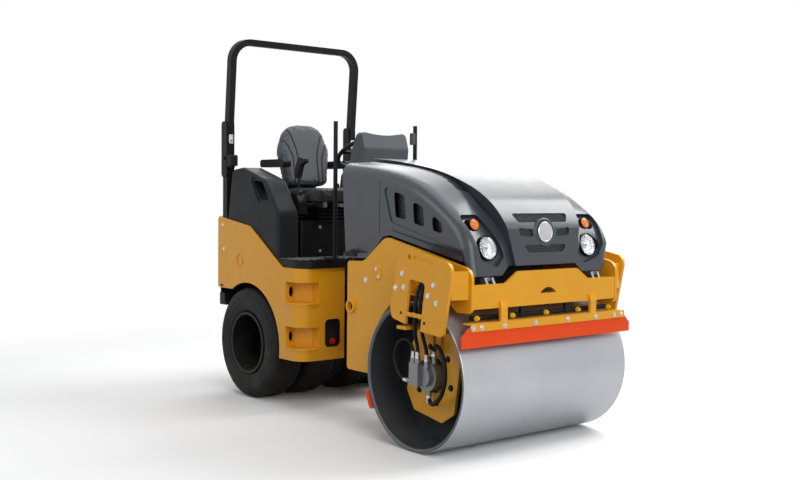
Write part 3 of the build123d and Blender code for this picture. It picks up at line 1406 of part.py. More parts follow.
# Folding roll bar: posts with cheeks, and the hoop that turns back on pins at the cheeks' feet
post_inner = post_face - post_width
with BuildPart() as rops_posts:
    block(post_x - post_depth / 2, post_x + post_depth / 2, -post_face, -post_inner, deck_top_z, post_top_z)
    block(post_x - post_foot_rear, post_x + post_foot_front, -post_face, -post_face + post_foot_width,
          deck_top_z, deck_top_z + post_foot_thickness)
    for low in (-post_face - cheek_thickness, -post_inner):
        plate([(post_x - cheek_depth / 2, cheek_bottom_z), (post_x + cheek_depth / 2, cheek_bottom_z),
               (post_x + cheek_depth / 2, cheek_top_z), (post_x - cheek_depth / 2, cheek_top_z)],
              low, low + cheek_thickness, rounds=cheek_round)
    cross_pin(post_x, fold_z, -post_face - cheek_thickness - fold_pin_stand,
              -post_inner + cheek_thickness + fold_pin_stand, fold_pin_radius)
    mirror(about=Plane.XZ)
rops_posts.part.label = "rops_posts"
export_step(rops_posts.part, "parts/rops_posts.step")

hoop_rise = (hoop_top_z - fold_z) / cos(radians(hoop_lean)) - post_depth / 2 * sin(radians(hoop_lean))
hoop_plane = Plane(origin=(post_x, 0, fold_z), x_dir=(0, 1, 0),
                   z_dir=(cos(radians(hoop_lean)), 0, -sin(radians(hoop_lean))))
hoop_outer = post_face - hoop_side_gap
hoop_inner = post_inner + hoop_side_gap
with BuildPart() as rops_hoop:
    with BuildSketch(hoop_plane):
        with BuildLine():
            FilletPolyline((-hoop_outer, -hoop_foot), (-hoop_outer, hoop_rise), (hoop_outer, hoop_rise),
                           (hoop_outer, -hoop_foot), radius=hoop_corner_radius)
            Line((hoop_outer, -hoop_foot), (hoop_inner, -hoop_foot))
            FilletPolyline((hoop_inner, -hoop_foot), (hoop_inner, hoop_rise - post_width),
                           (-hoop_inner, hoop_rise - post_width), (-hoop_inner, -hoop_foot),
                           radius=hoop_corner_radius - post_width)
            Line((-hoop_inner, -hoop_foot), (-hoop_outer, -hoop_foot))
        make_face()
    extrude(amount=post_depth / 2, both=True)
    cross_pin(post_x, fold_z, -post_face, post_face, fold_pin_radius + running_clearance, mode=Mode.SUBTRACT)
rops_hoop.part.label = "rops_hoop"
export_step(rops_hoop.part, "parts/rops_hoop.step")
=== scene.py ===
import bmesh
import bpy
import json
import math
import numpy as np
from mathutils import Matrix, Vector
from mathutils.bvhtree import BVHTree


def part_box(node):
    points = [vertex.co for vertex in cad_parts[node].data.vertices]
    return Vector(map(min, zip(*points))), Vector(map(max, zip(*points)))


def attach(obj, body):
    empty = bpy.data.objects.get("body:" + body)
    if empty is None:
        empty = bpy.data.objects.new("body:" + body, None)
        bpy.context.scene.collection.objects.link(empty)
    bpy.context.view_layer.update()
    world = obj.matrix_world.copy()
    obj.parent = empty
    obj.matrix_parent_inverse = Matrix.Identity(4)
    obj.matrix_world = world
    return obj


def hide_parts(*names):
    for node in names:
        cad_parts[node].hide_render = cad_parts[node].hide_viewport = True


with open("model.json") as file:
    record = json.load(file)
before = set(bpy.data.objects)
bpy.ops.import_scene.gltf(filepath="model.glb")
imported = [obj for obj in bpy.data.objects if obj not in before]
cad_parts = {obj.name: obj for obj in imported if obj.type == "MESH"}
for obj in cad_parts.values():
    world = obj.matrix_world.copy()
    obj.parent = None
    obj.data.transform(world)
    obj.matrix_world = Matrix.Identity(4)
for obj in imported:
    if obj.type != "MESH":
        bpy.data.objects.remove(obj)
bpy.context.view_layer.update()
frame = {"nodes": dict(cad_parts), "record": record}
scene = bpy.context.scene
nodes = frame["nodes"]
print("frame loaded:", len(nodes), "nodes")

# camera fitted to the photo's drum, tyre and side-to-side pairs
cameraFit = {
    "place": (5.668, -4.570, 1.505),
    "heading": 51.06,  # degrees from the machine's side view
    "dip": 2.51,
    "roll": 0.55,
    "lens": 47.34,
    "sensor": 36,
    "clipEnd": 200,
}


def addCamera(fit):
    a, p, r = (math.radians(fit[key]) for key in ("heading", "dip", "roll"))
    forward = Vector((-math.sin(a) * math.cos(p), math.cos(a) * math.cos(p), -math.sin(p)))
    right = Vector((math.cos(a), math.sin(a), 0))
    up = right.cross(forward)
    rolledRight = math.cos(r) * right + math.sin(r) * up
    rolledUp = -math.sin(r) * right + math.cos(r) * up
    turn = Matrix((rolledRight, rolledUp, -forward)).transposed().to_4x4()
    data = bpy.data.cameras.new("photoCamera")
    data.lens = fit["lens"]
    data.sensor_width = fit["sensor"]
    data.clip_end = fit["clipEnd"]
    camera = bpy.data.objects.new("photoCamera", data)
    camera.matrix_world = Matrix.Translation(fit["place"]) @ turn
    scene.collection.objects.link(camera)
    scene.camera = camera


addCamera(cameraFit)

# soft studio light: a wide sheet overhead and four large panels, with a pale world
studio = {
    "worldColor": (0.93, 0.96, 1.0),
    "worldStrength": 0.22,
    "backdrop": (1.0, 1.0, 1.0),
    "floorColor": (0.92, 0.92, 0.92),
    "floorBounce": (0.34, 0.34, 0.34),  # what the floor sends back as soft light
    "floorRough": 0.9,
    "floorShine": 0.1,
    "floorReach": 60.0,
    "fade": (2.6, 5.6),  # metres from the machine over which the floor turns white
    "panels": [
        # name, place, target, size, watts
        ("keyPanel", (2.2, 5.6, 6.6), (0.0, 0.0, 0.6), 4.6, 500),
        ("overheadSheet", (0.6, -0.4, 6.5), (0.0, 0.0, 0.8), 5.0, 130),
        ("cameraFill", (7.6, -2.8, 4.0), (0.2, 0.0, 0.8), 5.0, 335),
        ("sideFill", (-2.5, -7.8, 3.6), (-0.2, 0.0, 0.9), 4.6, 140),
        ("sheenPanel", (-3.2, 3.4, 5.0), (0.9, 0.0, 1.6), 6.0, 220),
    ],
}


# values for a node's sockets: an output socket is linked, anything else is written there
def feed(node, sockets):
    for key, value in sockets.items():
        if isinstance(value, bpy.types.NodeSocket):
            node.id_data.links.new(value, node.inputs[key])
        else:
            node.inputs[key].default_value = value


# a node with its fields and sockets set; sockets go by order, or by name with _ for a blank
def addNode(tree, kind, *ordered, **named):
    node = tree.nodes.new("ShaderNode" + kind)
    for key in [key for key in named if hasattr(node, key)]:
        setattr(node, key, named.pop(key))
    feed(node, dict(enumerate(ordered)))
    feed(node, {key.replace("_", " "): value for key, value in named.items()})
    return node


def newMaterial(name):
    material = bpy.data.materials.new(name)
    material.use_nodes = True
    tree = material.node_tree
    return material, tree, tree.nodes["Principled BSDF"]


# 1 for rays that come from the camera, a mirror or through glass
def seenRays(tree):
    path = addNode(tree, "LightPath").outputs
    first = addNode(tree, "Math", path["Is Camera Ray"], path["Is Glossy Ray"], operation="MAXIMUM")
    return addNode(tree, "Math", first.outputs[0], path["Is Transmission Ray"],
                   operation="MAXIMUM").outputs[0]


# floor: matt and shadowed near the machine, turning to plain white further out for rays that are seen
def makeFloor(look):
    material, tree, shader = newMaterial("paleFloor")
    rays = seenRays(tree)
    shown = addNode(tree, "Mix", data_type="RGBA", Factor=rays, A=(*look["floorBounce"], 1),
                    B=(*look["floorColor"], 1))
    feed(shader, {"Base Color": shown.outputs["Result"], "Roughness": look["floorRough"],
                  "Specular IOR Level": look["floorShine"]})
    place = addNode(tree, "TexCoord").outputs["Object"]
    length = addNode(tree, "VectorMath", place, operation="LENGTH")
    fade = addNode(tree, "MapRange", interpolation_type="SMOOTHSTEP", Value=length.outputs["Value"],
                   From_Min=look["fade"][0], From_Max=look["fade"][1])
    seen = addNode(tree, "Math", fade.outputs[0], rays, operation="MULTIPLY")
    white = addNode(tree, "Emission")
    mix = addNode(tree, "MixShader", seen.outputs[0], shader.outputs[0], white.outputs[0])
    feed(tree.nodes["Material Output"], {"Surface": mix.outputs[0]})
    return material


def addStudio(look):
    world = bpy.data.worlds.new("studioWorld")
    scene.world = world
    world.use_nodes = True
    tree = world.node_tree
    tree.nodes.clear()
    lit = addNode(tree, "Background", Color=(*look["worldColor"], 1), Strength=look["worldStrength"])
    seen = addNode(tree, "Background", Color=(*look["backdrop"], 1))
    mix = addNode(tree, "MixShader", seenRays(tree), lit.outputs[0], seen.outputs[0])
    addNode(tree, "OutputWorld", Surface=mix.outputs[0])
    for name, place, target, size, watts in look["panels"]:
        data = bpy.data.lights.new(name, "AREA")
        data.shape = "SQUARE"
        data.size = size
        data.energy = watts
        lamp = bpy.data.objects.new(name, data)
        lamp.location = place
        lamp.rotation_euler = (Vector(target) - Vector(place)).to_track_quat("-Z", "Y").to_euler()
        scene.collection.objects.link(lamp)
    reach = look["floorReach"]
    mesh = bpy.data.meshes.new("studioFloor")
    mesh.from_pydata([(-reach, -reach, 0), (reach, -reach, 0), (reach, reach, 0), (-reach, reach, 0)], [],
                     [(0, 1, 2, 3)])
    mesh.materials.append(makeFloor(look))
    floor = bpy.data.objects.new("studioFloor", mesh)
    scene.collection.objects.link(floor)
    scene.view_settings.view_transform = "Standard"


addStudio(studio)
print("camera and studio set")


# a node group of numbers: three values make a vector input, one value a plain one
def newGroup(name, outputs, **inputs):
    tree = bpy.data.node_groups.new(name, "ShaderNodeTree")
    for label, value in inputs.items():
        kind = "NodeSocketVector" if isinstance(value, tuple) else "NodeSocketFloat"
        tree.interface.new_socket(label, in_out="INPUT", socket_type=kind).default_value = value
    for label in outputs:
        tree.interface.new_socket(label, in_out="OUTPUT", socket_type="NodeSocketFloat")
    enter, leave = tree.nodes.new("NodeGroupInput"), tree.nodes.new("NodeGroupOutput")
    return tree, enter.outputs, leave, addNode(tree, "TexCoord").outputs["Object"]


# settled dust: thickest low down and on faces that look up, broken by noise
def makeDustGroup():
    tree, given, leave, place = newGroup("settledDust", ["Mask"], Amount=0.5, Low=0.0, High=1.0, Scale=6.0)
    split = addNode(tree, "SeparateXYZ", place)
    fall = addNode(tree, "MapRange", Value=split.outputs["Z"], From_Min=given["Low"], From_Max=given["High"],
                   To_Min=1.0, To_Max=0.0)
    noise = addNode(tree, "TexNoise", Vector=place, Scale=given["Scale"], Detail=6.0, Roughness=0.62)
    patch = addNode(tree, "MapRange", Value=noise.outputs["Fac"], From_Min=0.35, From_Max=0.72)
    up = addNode(tree, "SeparateXYZ", addNode(tree, "NewGeometry").outputs["Normal"])
    flat = addNode(tree, "MapRange", Value=up.outputs["Z"], From_Min=0.3, From_Max=1.0, To_Max=0.45)
    total = addNode(tree, "Math", fall.outputs[0], flat.outputs[0], operation="ADD")
    broken = addNode(tree, "Math", total.outputs[0], patch.outputs[0], operation="MULTIPLY")
    scaled = addNode(tree, "Math", broken.outputs[0], given["Amount"], operation="MULTIPLY", use_clamp=True)
    feed(leave, {"Mask": scaled.outputs[0]})
    return tree


# mottle: slow drift between two values, for paint tone and gloss
def makeMottleGroup():
    tree, given, leave, place = newGroup("slowMottle", ["Value", "Mask"], Scale=3.0, Low=0.3, High=0.5)
    noise = addNode(tree, "TexNoise", Vector=place, Scale=given["Scale"], Detail=5.0)
    spread = addNode(tree, "MapRange", Value=noise.outputs["Fac"], From_Min=0.3, From_Max=0.7)
    level = addNode(tree, "MapRange", Value=spread.outputs[0], To_Min=given["Low"], To_Max=given["High"])
    feed(leave, {"Value": level.outputs[0], "Mask": spread.outputs[0]})
    return tree


# pebble: the height of fine cells, for moulded plastic, rubber and vinyl
def makePebbleGroup():
    tree, given, leave, place = newGroup("finePebble", ["Height"], Scale=400.0, Stretch=(1.0, 1.0, 1.0))
    spread = addNode(tree, "VectorMath", place, given["Stretch"], operation="MULTIPLY").outputs[0]
    cells = addNode(tree, "TexVoronoi", Vector=spread, Scale=given["Scale"])
    noise = addNode(tree, "TexNoise", Vector=spread, Scale=given["Scale"])
    mixed = addNode(tree, "Math", cells.outputs["Distance"], noise.outputs["Fac"], operation="ADD")
    feed(leave, {"Height": mixed.outputs[0]})
    return tree


# bore: 1 inside a cylinder that lies across the machine, for the drum's slate paint inside and on its end
# face, where the slate is painted lighter as painted light
def makeBoreGroup():
    tree, given, leave, place = newGroup("boreSlateAndLight", ["Mask"], Centre=(0.0, 0.0, 0.0), Radius=0.4)
    away = addNode(tree, "VectorMath", place, given["Centre"], operation="SUBTRACT")
    flat = addNode(tree, "VectorMath", away.outputs[0], (1.0, 0.0, 1.0), operation="MULTIPLY")
    length = addNode(tree, "VectorMath", flat.outputs[0], operation="LENGTH")
    inside = addNode(tree, "Math", length.outputs["Value"], given["Radius"], operation="LESS_THAN")
    feed(leave, {"Mask": inside.outputs[0]})
    return tree


dustGroup = makeDustGroup()
mottleGroup = makeMottleGroup()
pebbleGroup = makePebbleGroup()
boreGroup = makeBoreGroup()


# one colour over another where a mask says so
def overlay(tree, mask, below, color):
    return addNode(tree, "Mix", data_type="RGBA", Factor=mask, A=below, B=(*color, 1)).outputs["Result"]


# what all finishes share
surface = {"toneScale": 2.5, "glossScale": 9.0, "dustScale": 7.0, "dustColor": (0.33, 0.29, 0.23),
           "dustHigh": 1.2, "dustRough": 0.35, "bumpDistance": 0.001}


# a finish: two close tones drifting over the piece, settled dust, drifting gloss and a fine surface
def makeFinish(name, look):
    look = {**surface, **look}
    material, tree, shader = newMaterial(name)
    feed(shader, look.get("sockets", {}))
    tone = addNode(tree, "Group", node_tree=mottleGroup, Scale=look["toneScale"])
    base = addNode(tree, "Mix", data_type="RGBA", Factor=tone.outputs["Mask"], A=(*look["color"], 1),
                   B=(*look["shade"], 1))
    color = base.outputs["Result"]
    # slate zones from the outside in: first the shell's end face, whose slate is painted lighter than the
    # inside's as painted light, then the inside; the first one also ends the bare metal
    for number, (radius, paint) in enumerate(look.get("zones", [])):
        zone = addNode(tree, "Group", node_tree=boreGroup, Centre=look["zoneCentre"],
                       Radius=radius).outputs["Mask"]
        color = overlay(tree, zone, color, paint)
        if number == 0:
            bare = addNode(tree, "Math", zone, -look["metal"], look["metal"], operation="MULTIPLY_ADD")
            feed(shader, {"Metallic": bare.outputs[0]})
    # painted shade: a near-black line laid over the colour along the seat's seam grooves, from a mask stored
    # on the points
    if "seamShade" in look:
        seam = addNode(tree, "Attribute", attribute_name="seamShade")
        color = overlay(tree, seam.outputs["Fac"], color, look["seamShade"])
    dust = addNode(tree, "Group", node_tree=dustGroup, Amount=look["dust"], High=look["dustHigh"],
                   Scale=look["dustScale"]).outputs["Mask"]
    color = overlay(tree, dust, color, look["dustColor"])
    gloss = addNode(tree, "Group", node_tree=mottleGroup, Scale=look["glossScale"], Low=look["gloss"][0],
                    High=look["gloss"][1])
    rough = addNode(tree, "Math", dust, look["dustRough"], gloss.outputs["Value"], operation="MULTIPLY_ADD",
                    use_clamp=True)
    pebble = addNode(tree, "Group", node_tree=pebbleGroup, Scale=look["pebbleScale"],
                     Stretch=look.get("pebbleStretch", (1, 1, 1)))
    bump = addNode(tree, "Bump", Strength=look["bump"], Distance=look["bumpDistance"],
                   Height=pebble.outputs["Height"])
    feed(shader, {"Base Color": color, "Roughness": rough.outputs[0], "Normal": bump.outputs["Normal"]})
    return material


drumAxle = (0.995, 0.0, 0.440)
wheelAxle = (-1.015, 0.0, 0.403)
coat = {"Coat Weight": 0.12, "Coat Roughness": 0.15, "Specular IOR Level": 0.3}
dull = {"Specular IOR Level": 0.12}
lensCoat = {"Coat Weight": 0.25, "Coat Roughness": 0.08, "Specular IOR Level": 0.25}
finishes = {
    "amberPaint": {"color": (0.80, 0.365, 0.010), "shade": (0.76, 0.34, 0.009), "gloss": (0.28, 0.38),
                   "dust": 0.10, "dustHigh": 0.9, "pebbleScale": 180.0, "bump": 0.03, "sockets": coat},
    "slateHood": {"color": (0.040, 0.048, 0.060), "shade": (0.036, 0.043, 0.054), "gloss": (0.30, 0.37),
                  "dust": 0.03, "dustHigh": 1.2, "pebbleScale": 120.0, "bump": 0.015,
                  "sockets": {"Coat Weight": 0.35, "Coat Roughness": 0.16, "Specular IOR Level": 0.3}},
    "satinBlack": {"color": (0.010, 0.010, 0.011), "shade": (0.007, 0.007, 0.008), "gloss": (0.32, 0.46),
                   "dust": 0.06, "pebbleScale": 260.0, "bump": 0.05, "sockets": dull},
    "grainedGrey": {"color": (0.017, 0.0185, 0.020), "shade": (0.014, 0.0155, 0.017), "gloss": (0.42, 0.55),
                    "dust": 0.06, "dustHigh": 1.3, "pebbleScale": 420.0, "bump": 0.22, "sockets": dull},
    "dashGrey": {"color": (0.10, 0.106, 0.115), "shade": (0.088, 0.094, 0.102), "gloss": (0.40, 0.52),
                 "dust": 0.05, "dustHigh": 1.3, "pebbleScale": 420.0, "bump": 0.18, "sockets": dull},
    "mouldedBlack": {"color": (0.012, 0.012, 0.012), "shade": (0.009, 0.009, 0.009), "gloss": (0.4, 0.55),
                     "dust": 0.06, "pebbleScale": 420.0, "bump": 0.2, "sockets": dull},
    "rolledSteel": {"color": (0.47, 0.485, 0.515), "shade": (0.42, 0.435, 0.465), "gloss": (0.34, 0.42),
                    "dust": 0.10, "dustHigh": 0.3, "pebbleScale": 60.0, "pebbleStretch": (0.4, 14.0, 0.4),
                    "bump": 0.1, "metal": 0.6, "zoneCentre": drumAxle,
                    # the end face's lighter slate is painted light; the darker slate is the inside's paint
                    "zones": [(0.4375, (0.085, 0.10, 0.115)), (0.4172, (0.030, 0.036, 0.042))]},
    "drumSlate": {"color": (0.022, 0.026, 0.03), "shade": (0.017, 0.02, 0.023), "gloss": (0.4, 0.55),
                  "dust": 0.12, "dustHigh": 0.5, "pebbleScale": 160.0, "bump": 0.08, "sockets": dull},
    "softRubber": {"color": (0.010, 0.010, 0.010), "shade": (0.008, 0.008, 0.008), "gloss": (0.36, 0.5),
                   "dust": 0.06, "pebbleScale": 300.0, "bump": 0.12, "sockets": dull},
    "tyreRubber": {"color": (0.012, 0.012, 0.0125), "shade": (0.009, 0.009, 0.0095), "gloss": (0.5, 0.65),
                   "dust": 0.08, "dustHigh": 0.6, "pebbleScale": 220.0, "bump": 0.2, "sockets": dull},
    "rimBlack": {"color": (0.010, 0.010, 0.011), "shade": (0.008, 0.008, 0.009), "gloss": (0.34, 0.48),
                 "dust": 0.1, "dustHigh": 0.8, "pebbleScale": 220.0, "bump": 0.06, "sockets": dull},
    "castOrange": {"color": (0.90, 0.085, 0.016), "shade": (0.84, 0.076, 0.014), "gloss": (0.40, 0.5),
                   "dust": 0.08, "dustHigh": 0.9, "pebbleScale": 200.0, "bump": 0.08, "sockets": dull},
    # the seat's two vinyls each carry a near-black colour for painted shade in their seam grooves
    "seatVinyl": {"color": (0.105, 0.113, 0.125), "shade": (0.09, 0.097, 0.108), "gloss": (0.36, 0.48),
                  "dust": 0.04, "pebbleScale": 520.0, "bump": 0.3, "seamShade": (0.006, 0.006, 0.006),
                  "sockets": dull},
    "cushionVinyl": {"color": (0.035, 0.037, 0.041), "shade": (0.029, 0.031, 0.035), "gloss": (0.28, 0.4),
                     "dust": 0.04, "pebbleScale": 520.0, "bump": 0.3, "seamShade": (0.006, 0.006, 0.006),
                     "sockets": dull},
    "mirrorBowl": {"color": (0.66, 0.67, 0.69), "shade": (0.60, 0.61, 0.63), "gloss": (0.08, 0.14),
                   "dust": 0.0, "pebbleScale": 90.0, "bump": 0.02, "sockets": {"Metallic": 1.0}},
    "amberLens": {"color": (0.85, 0.22, 0.008), "shade": (0.8, 0.19, 0.007), "gloss": (0.1, 0.16),
                  "dust": 0.02, "pebbleScale": 90.0, "bump": 0.04, "sockets": lensCoat},
    "redLens": {"color": (0.5, 0.015, 0.012), "shade": (0.44, 0.012, 0.01), "gloss": (0.1, 0.16),
                "dust": 0.03, "pebbleScale": 90.0, "bump": 0.04, "sockets": lensCoat},
    "castMotor": {"color": (0.24, 0.245, 0.25), "shade": (0.17, 0.175, 0.18), "gloss": (0.35, 0.5),
                  "dust": 0.12, "dustHigh": 0.9, "pebbleScale": 240.0, "bump": 0.25,
                  "sockets": {"Metallic": 0.75}},
    "engineIron": {"color": (0.04, 0.04, 0.042), "shade": (0.03, 0.03, 0.032), "gloss": (0.5, 0.65),
                   "dust": 0.15, "pebbleScale": 200.0, "bump": 0.3, "sockets": dull},
    "brightSteel": {"color": (0.58, 0.58, 0.59), "shade": (0.48, 0.48, 0.49), "gloss": (0.24, 0.36),
                    "dust": 0.05, "pebbleScale": 200.0, "bump": 0.05, "sockets": {"Metallic": 1.0}},
    "treadSteel": {"color": (0.16, 0.16, 0.165), "shade": (0.11, 0.11, 0.115), "gloss": (0.34, 0.5),
                   "dust": 0.1, "pebbleScale": 200.0, "bump": 0.1, "sockets": {"Metallic": 0.9}},
    "nozzleYellow": {"color": (0.82, 0.52, 0.012), "shade": (0.76, 0.47, 0.01), "gloss": (0.35, 0.45),
                     "dust": 0.03, "pebbleScale": 300.0, "bump": 0.1, "sockets": dull},
    "meshBlack": {"color": (0.006, 0.006, 0.007), "shade": (0.005, 0.005, 0.006), "gloss": (0.5, 0.6),
                  "dust": 0.04, "pebbleScale": 140.0, "bump": 0.3, "sockets": {"Specular IOR Level": 0.08}},
    "strandGrey": {"color": (0.13, 0.135, 0.14), "shade": (0.10, 0.105, 0.11), "gloss": (0.35, 0.45),
                   "dust": 0.05, "pebbleScale": 140.0, "bump": 0.1, "sockets": {"Metallic": 0.6}},
    "switchRed": {"color": (0.62, 0.016, 0.011), "shade": (0.55, 0.013, 0.009), "gloss": (0.3, 0.4),
                  "dust": 0.03, "pebbleScale": 300.0, "bump": 0.08, "sockets": dull},
    "clearGlass": {"color": (0.95, 0.96, 0.97), "shade": (0.93, 0.94, 0.95), "gloss": (0.02, 0.04),
                   "dust": 0.0, "pebbleScale": 60.0, "bump": 0.02,
                   "sockets": {"Transmission Weight": 1.0, "IOR": 1.45}},
}
materials = {name: makeFinish(name, look) for name, look in finishes.items()}

slotFinish = {
    "yellow_paint": "amberPaint", "hood_grey": "slateHood", "black_paint": "satinBlack",
    "mesh_black": "meshBlack", "console_plastic": "grainedGrey", "black_plastic": "mouldedBlack",
    "drum_steel": "rolledSteel", "drum_inside": "drumSlate", "rubber": "softRubber", "tyre": "tyreRubber",
    "rim_paint": "rimBlack", "orange_blade": "castOrange", "seat_vinyl": "seatVinyl",
    "lamp_clear": "mirrorBowl", "lamp_amber": "amberLens", "lamp_red": "redLens",
    "motor_metal": "castMotor", "engine_iron": "engineIron", "bright_steel": "brightSteel",
    "barrel_paint": "satinBlack", "nozzle_yellow": "nozzleYellow",
}
for entry in frame["record"]["subparts"]:
    node = nodes[entry["node"]]
    node.data.materials.clear()
    node.data.materials.append(materials[slotFinish[entry["material_slot"]]])
# nodes whose finish differs from their slot's
nodeFinish = {"dash": "dashGrey", "hood_hinges": "castMotor"}
for name, finish in nodeFinish.items():
    nodes[name].data.materials[0] = materials[finish]
print("finishes:", len(materials))


# quads of a grid of points: each row closes on itself, and the rows may close as well
def gridFaces(rows, cols, closeRows=False):
    i, j = np.meshgrid(np.arange(rows if closeRows else rows - 1), np.arange(cols), indexing="ij")
    i, j = i.ravel(), j.ravel()
    k, l = (i + 1) % rows, (j + 1) % cols
    return np.stack([i * cols + j, i * cols + l, k * cols + l, k * cols + j], axis=1)


# turned shape: radius and height along the profile, carried round the height axis;
# ring(turn) scales the radius
def turned(profile, segments=32, ring=np.ones_like, closed=False):
    profile = np.asarray(profile, float)
    turn = np.linspace(0, 2 * math.pi, segments, endpoint=False)
    radius = profile[:, :1] * ring(turn)
    high = np.repeat(profile[:, 1:], segments, axis=1)
    points = np.stack([radius * np.cos(turn), radius * np.sin(turn), high], axis=-1)
    return points.reshape(-1, 3), gridFaces(len(profile), segments, closed)


# hexagon: distance to the flat of a six-sided head in each direction, against its corner
def hexRing(turn):
    return math.cos(math.pi / 6) / np.cos((turn + math.pi / 6) % (math.pi / 3) - math.pi / 6)


# tube: a circle carried along a path, square to it, with a fixed sideways direction and closed ends
def tube(path, radius, aside, sides=12):
    path = np.asarray(path, float)
    along = np.gradient(path, axis=0)
    along /= np.linalg.norm(along, axis=1, keepdims=True)
    first = np.cross(along, aside)
    first /= np.linalg.norm(first, axis=1, keepdims=True)
    second = np.cross(along, first)
    turn = np.linspace(0, 2 * math.pi, sides, endpoint=False)
    around = first[:, None] * np.cos(turn)[None, :, None] + second[:, None] * np.sin(turn)[None, :, None]
    ends = np.repeat(path[[0, -1]][:, None], sides, axis=1)
    points = np.concatenate([ends[:1], path[:, None] + radius * around, ends[1:]])
    return points.reshape(-1, 3), gridFaces(len(points), sides)


# soft block: each half size times a power of the sine and cosine of two angles, so a box with rounded edges
def softBlock(low, high, power=0.2, rows=14, cols=28):
    low, high = np.asarray(low, float), np.asarray(high, float)
    around = np.arange(cols) * 2 * math.pi / cols + 0.01
    tilt, turn = np.meshgrid(np.linspace(-math.pi / 2, math.pi / 2, rows), around, indexing="ij")
    bend = lambda value: np.sign(value) * np.abs(value) ** power
    flat = bend(np.cos(tilt))
    unit = np.stack([flat * bend(np.cos(turn)), flat * bend(np.sin(turn)), bend(np.sin(tilt))], axis=-1)
    points = (low + high) / 2 + unit * (high - low) / 2
    return points.reshape(-1, 3), gridFaces(rows, cols)


# plate: an outline raised from 0 to its thickness, drawn in by the edge at the top, closed at its middle
def plate(outline, thickness, edge):
    outline = np.asarray(outline, float)
    middle = outline.mean(axis=0)
    reach = np.linalg.norm(outline - middle, axis=1, keepdims=True)
    inner = middle + (outline - middle) * (1 - edge / reach)
    centre = np.broadcast_to(middle, outline.shape)
    rows = [(centre, 0), (outline, 0), (outline, thickness - edge), (inner, thickness), (centre, thickness)]
    points = np.concatenate([np.column_stack([line, np.full(len(line), height)]) for line, height in rows])
    return points, gridFaces(len(rows), len(outline))


# a rectangle's outline with rounded corners: quarter circles round the four corner centres
def roundedOutline(length, width, corner, steps=6):
    turn = np.linspace(0, math.pi / 2, steps)
    quarters = [(1, 1, 0), (-1, 1, 1), (-1, -1, 2), (1, -1, 3)]
    return np.concatenate([
        np.stack([sx * (length / 2 - corner) + corner * np.cos(turn + q * math.pi / 2),
                  sy * (width / 2 - corner) + corner * np.sin(turn + q * math.pi / 2)], axis=1)
        for sx, sy, q in quarters
    ])


# a shape moved so that its height axis looks along a direction
def placed(shape, origin, normal, spin=0.0):
    turn = Vector(normal).to_track_quat("Z", "Y").to_matrix() @ Matrix.Rotation(spin, 3, "Z")
    return shape[0] @ np.array(turn).T + np.asarray(origin, float), shape[1]


# shapes of the near side and the same ones on the other side of the machine
def bothSides(shapes):
    return list(shapes) + [(points * np.array([1.0, -1.0, 1.0]), faces[:, ::-1]) for points, faces in shapes]


def mergeDoubles(mesh, gap=1e-5, outwards=False):
    bm = bmesh.new()
    bm.from_mesh(mesh)
    bmesh.ops.remove_doubles(bm, verts=bm.verts, dist=gap)
    if outwards:
        bmesh.ops.recalc_face_normals(bm, faces=bm.faces)
    bm.to_mesh(mesh)
    bm.free()


def smoothAll(mesh):
    mesh.polygons.foreach_set("use_smooth", np.ones(len(mesh.polygons), bool))


def newObject(name, mesh):
    piece = bpy.data.objects.new(name, mesh)
    scene.collection.objects.link(piece)
    return piece


def carry(piece, body, finish):
    piece.data.materials.clear()
    piece.data.materials.append(materials[finish])
    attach(piece, body)


# shapes joined into one mesh, doubles merged, normals outwards, smooth with sharp edges kept
def addPiece(name, shapes, body, slot, finish, sharp=30):
    starts = np.cumsum([0] + [len(points) for points, _ in shapes[:-1]])
    points = np.concatenate([points for points, _ in shapes])
    faces = np.concatenate([faces + start for (_, faces), start in zip(shapes, starts)])
    mesh = bpy.data.meshes.new(name)
    mesh.from_pydata(points.tolist(), [], faces.tolist())
    mergeDoubles(mesh, outwards=True)
    smoothAll(mesh)
    mesh.set_sharp_from_angle(angle=math.radians(sharp))
    piece = newObject(name, mesh)
    carry(piece, body, finish)
    return piece


castTrees = {}


# where a ray first meets one of the solids, and the face's direction there
def meet(node, origin, direction):
    if node not in castTrees:
        data = nodes[node].data
        corners = [tuple(face.vertices) for face in data.polygons]
        castTrees[node] = BVHTree.FromPolygons([point.co for point in data.vertices], corners)
    return castTrees[node].ray_cast(Vector(origin), Vector(direction))[:2]


# bolt: a washer with a chamfered six-sided head; widths and heights are shares of the size
boltLook = {
    "washer": 1.32, "washerHigh": 0.16, "washerEdge": (0.95, 0.8), "head": 1.0, "headHigh": 0.5,
    "chamfer": 0.86, "chamferHigh": 0.12, "domed": 0.95, "roundFoot": 0.1, "roundHigh": 0.45, "sides": 24,
    "sunk": 0.001,  # metres below the seat
    "spin": 0.37,  # turn of each bolt against the one before
    "sharp": 25,  # degrees from which an edge is sharp
}


def hexBolt(size):
    b = boltLook
    washer, head = b["washer"] * size, b["head"] * size
    low, high = b["washerHigh"] * size, (b["washerHigh"] + b["headHigh"]) * size
    edge, side = b["washerEdge"]
    rows = [(0, -b["sunk"]), (washer, -b["sunk"]), (washer, low * side), (washer * edge, low),
            (head, low), (head, high - b["chamferHigh"] * size), (b["chamfer"] * size, high),
            (0, high * b["domed"])]
    headSide = np.isin(np.arange(len(rows)), (4, 5))[:, None]
    return turned(rows, b["sides"], lambda turn: np.where(headSide, hexRing(turn), 1.0))


# a flat round-headed screw or rivet
def roundHead(size):
    turn = np.linspace(0, math.pi / 2, 5)
    high = boltLook["roundFoot"] * size + boltLook["roundHigh"] * size * np.sin(turn)
    dome = np.stack([size * np.cos(turn), high], axis=1)
    return turned(np.concatenate([[(0, -boltLook["sunk"]), (size, -boltLook["sunk"])], dome]), 16)


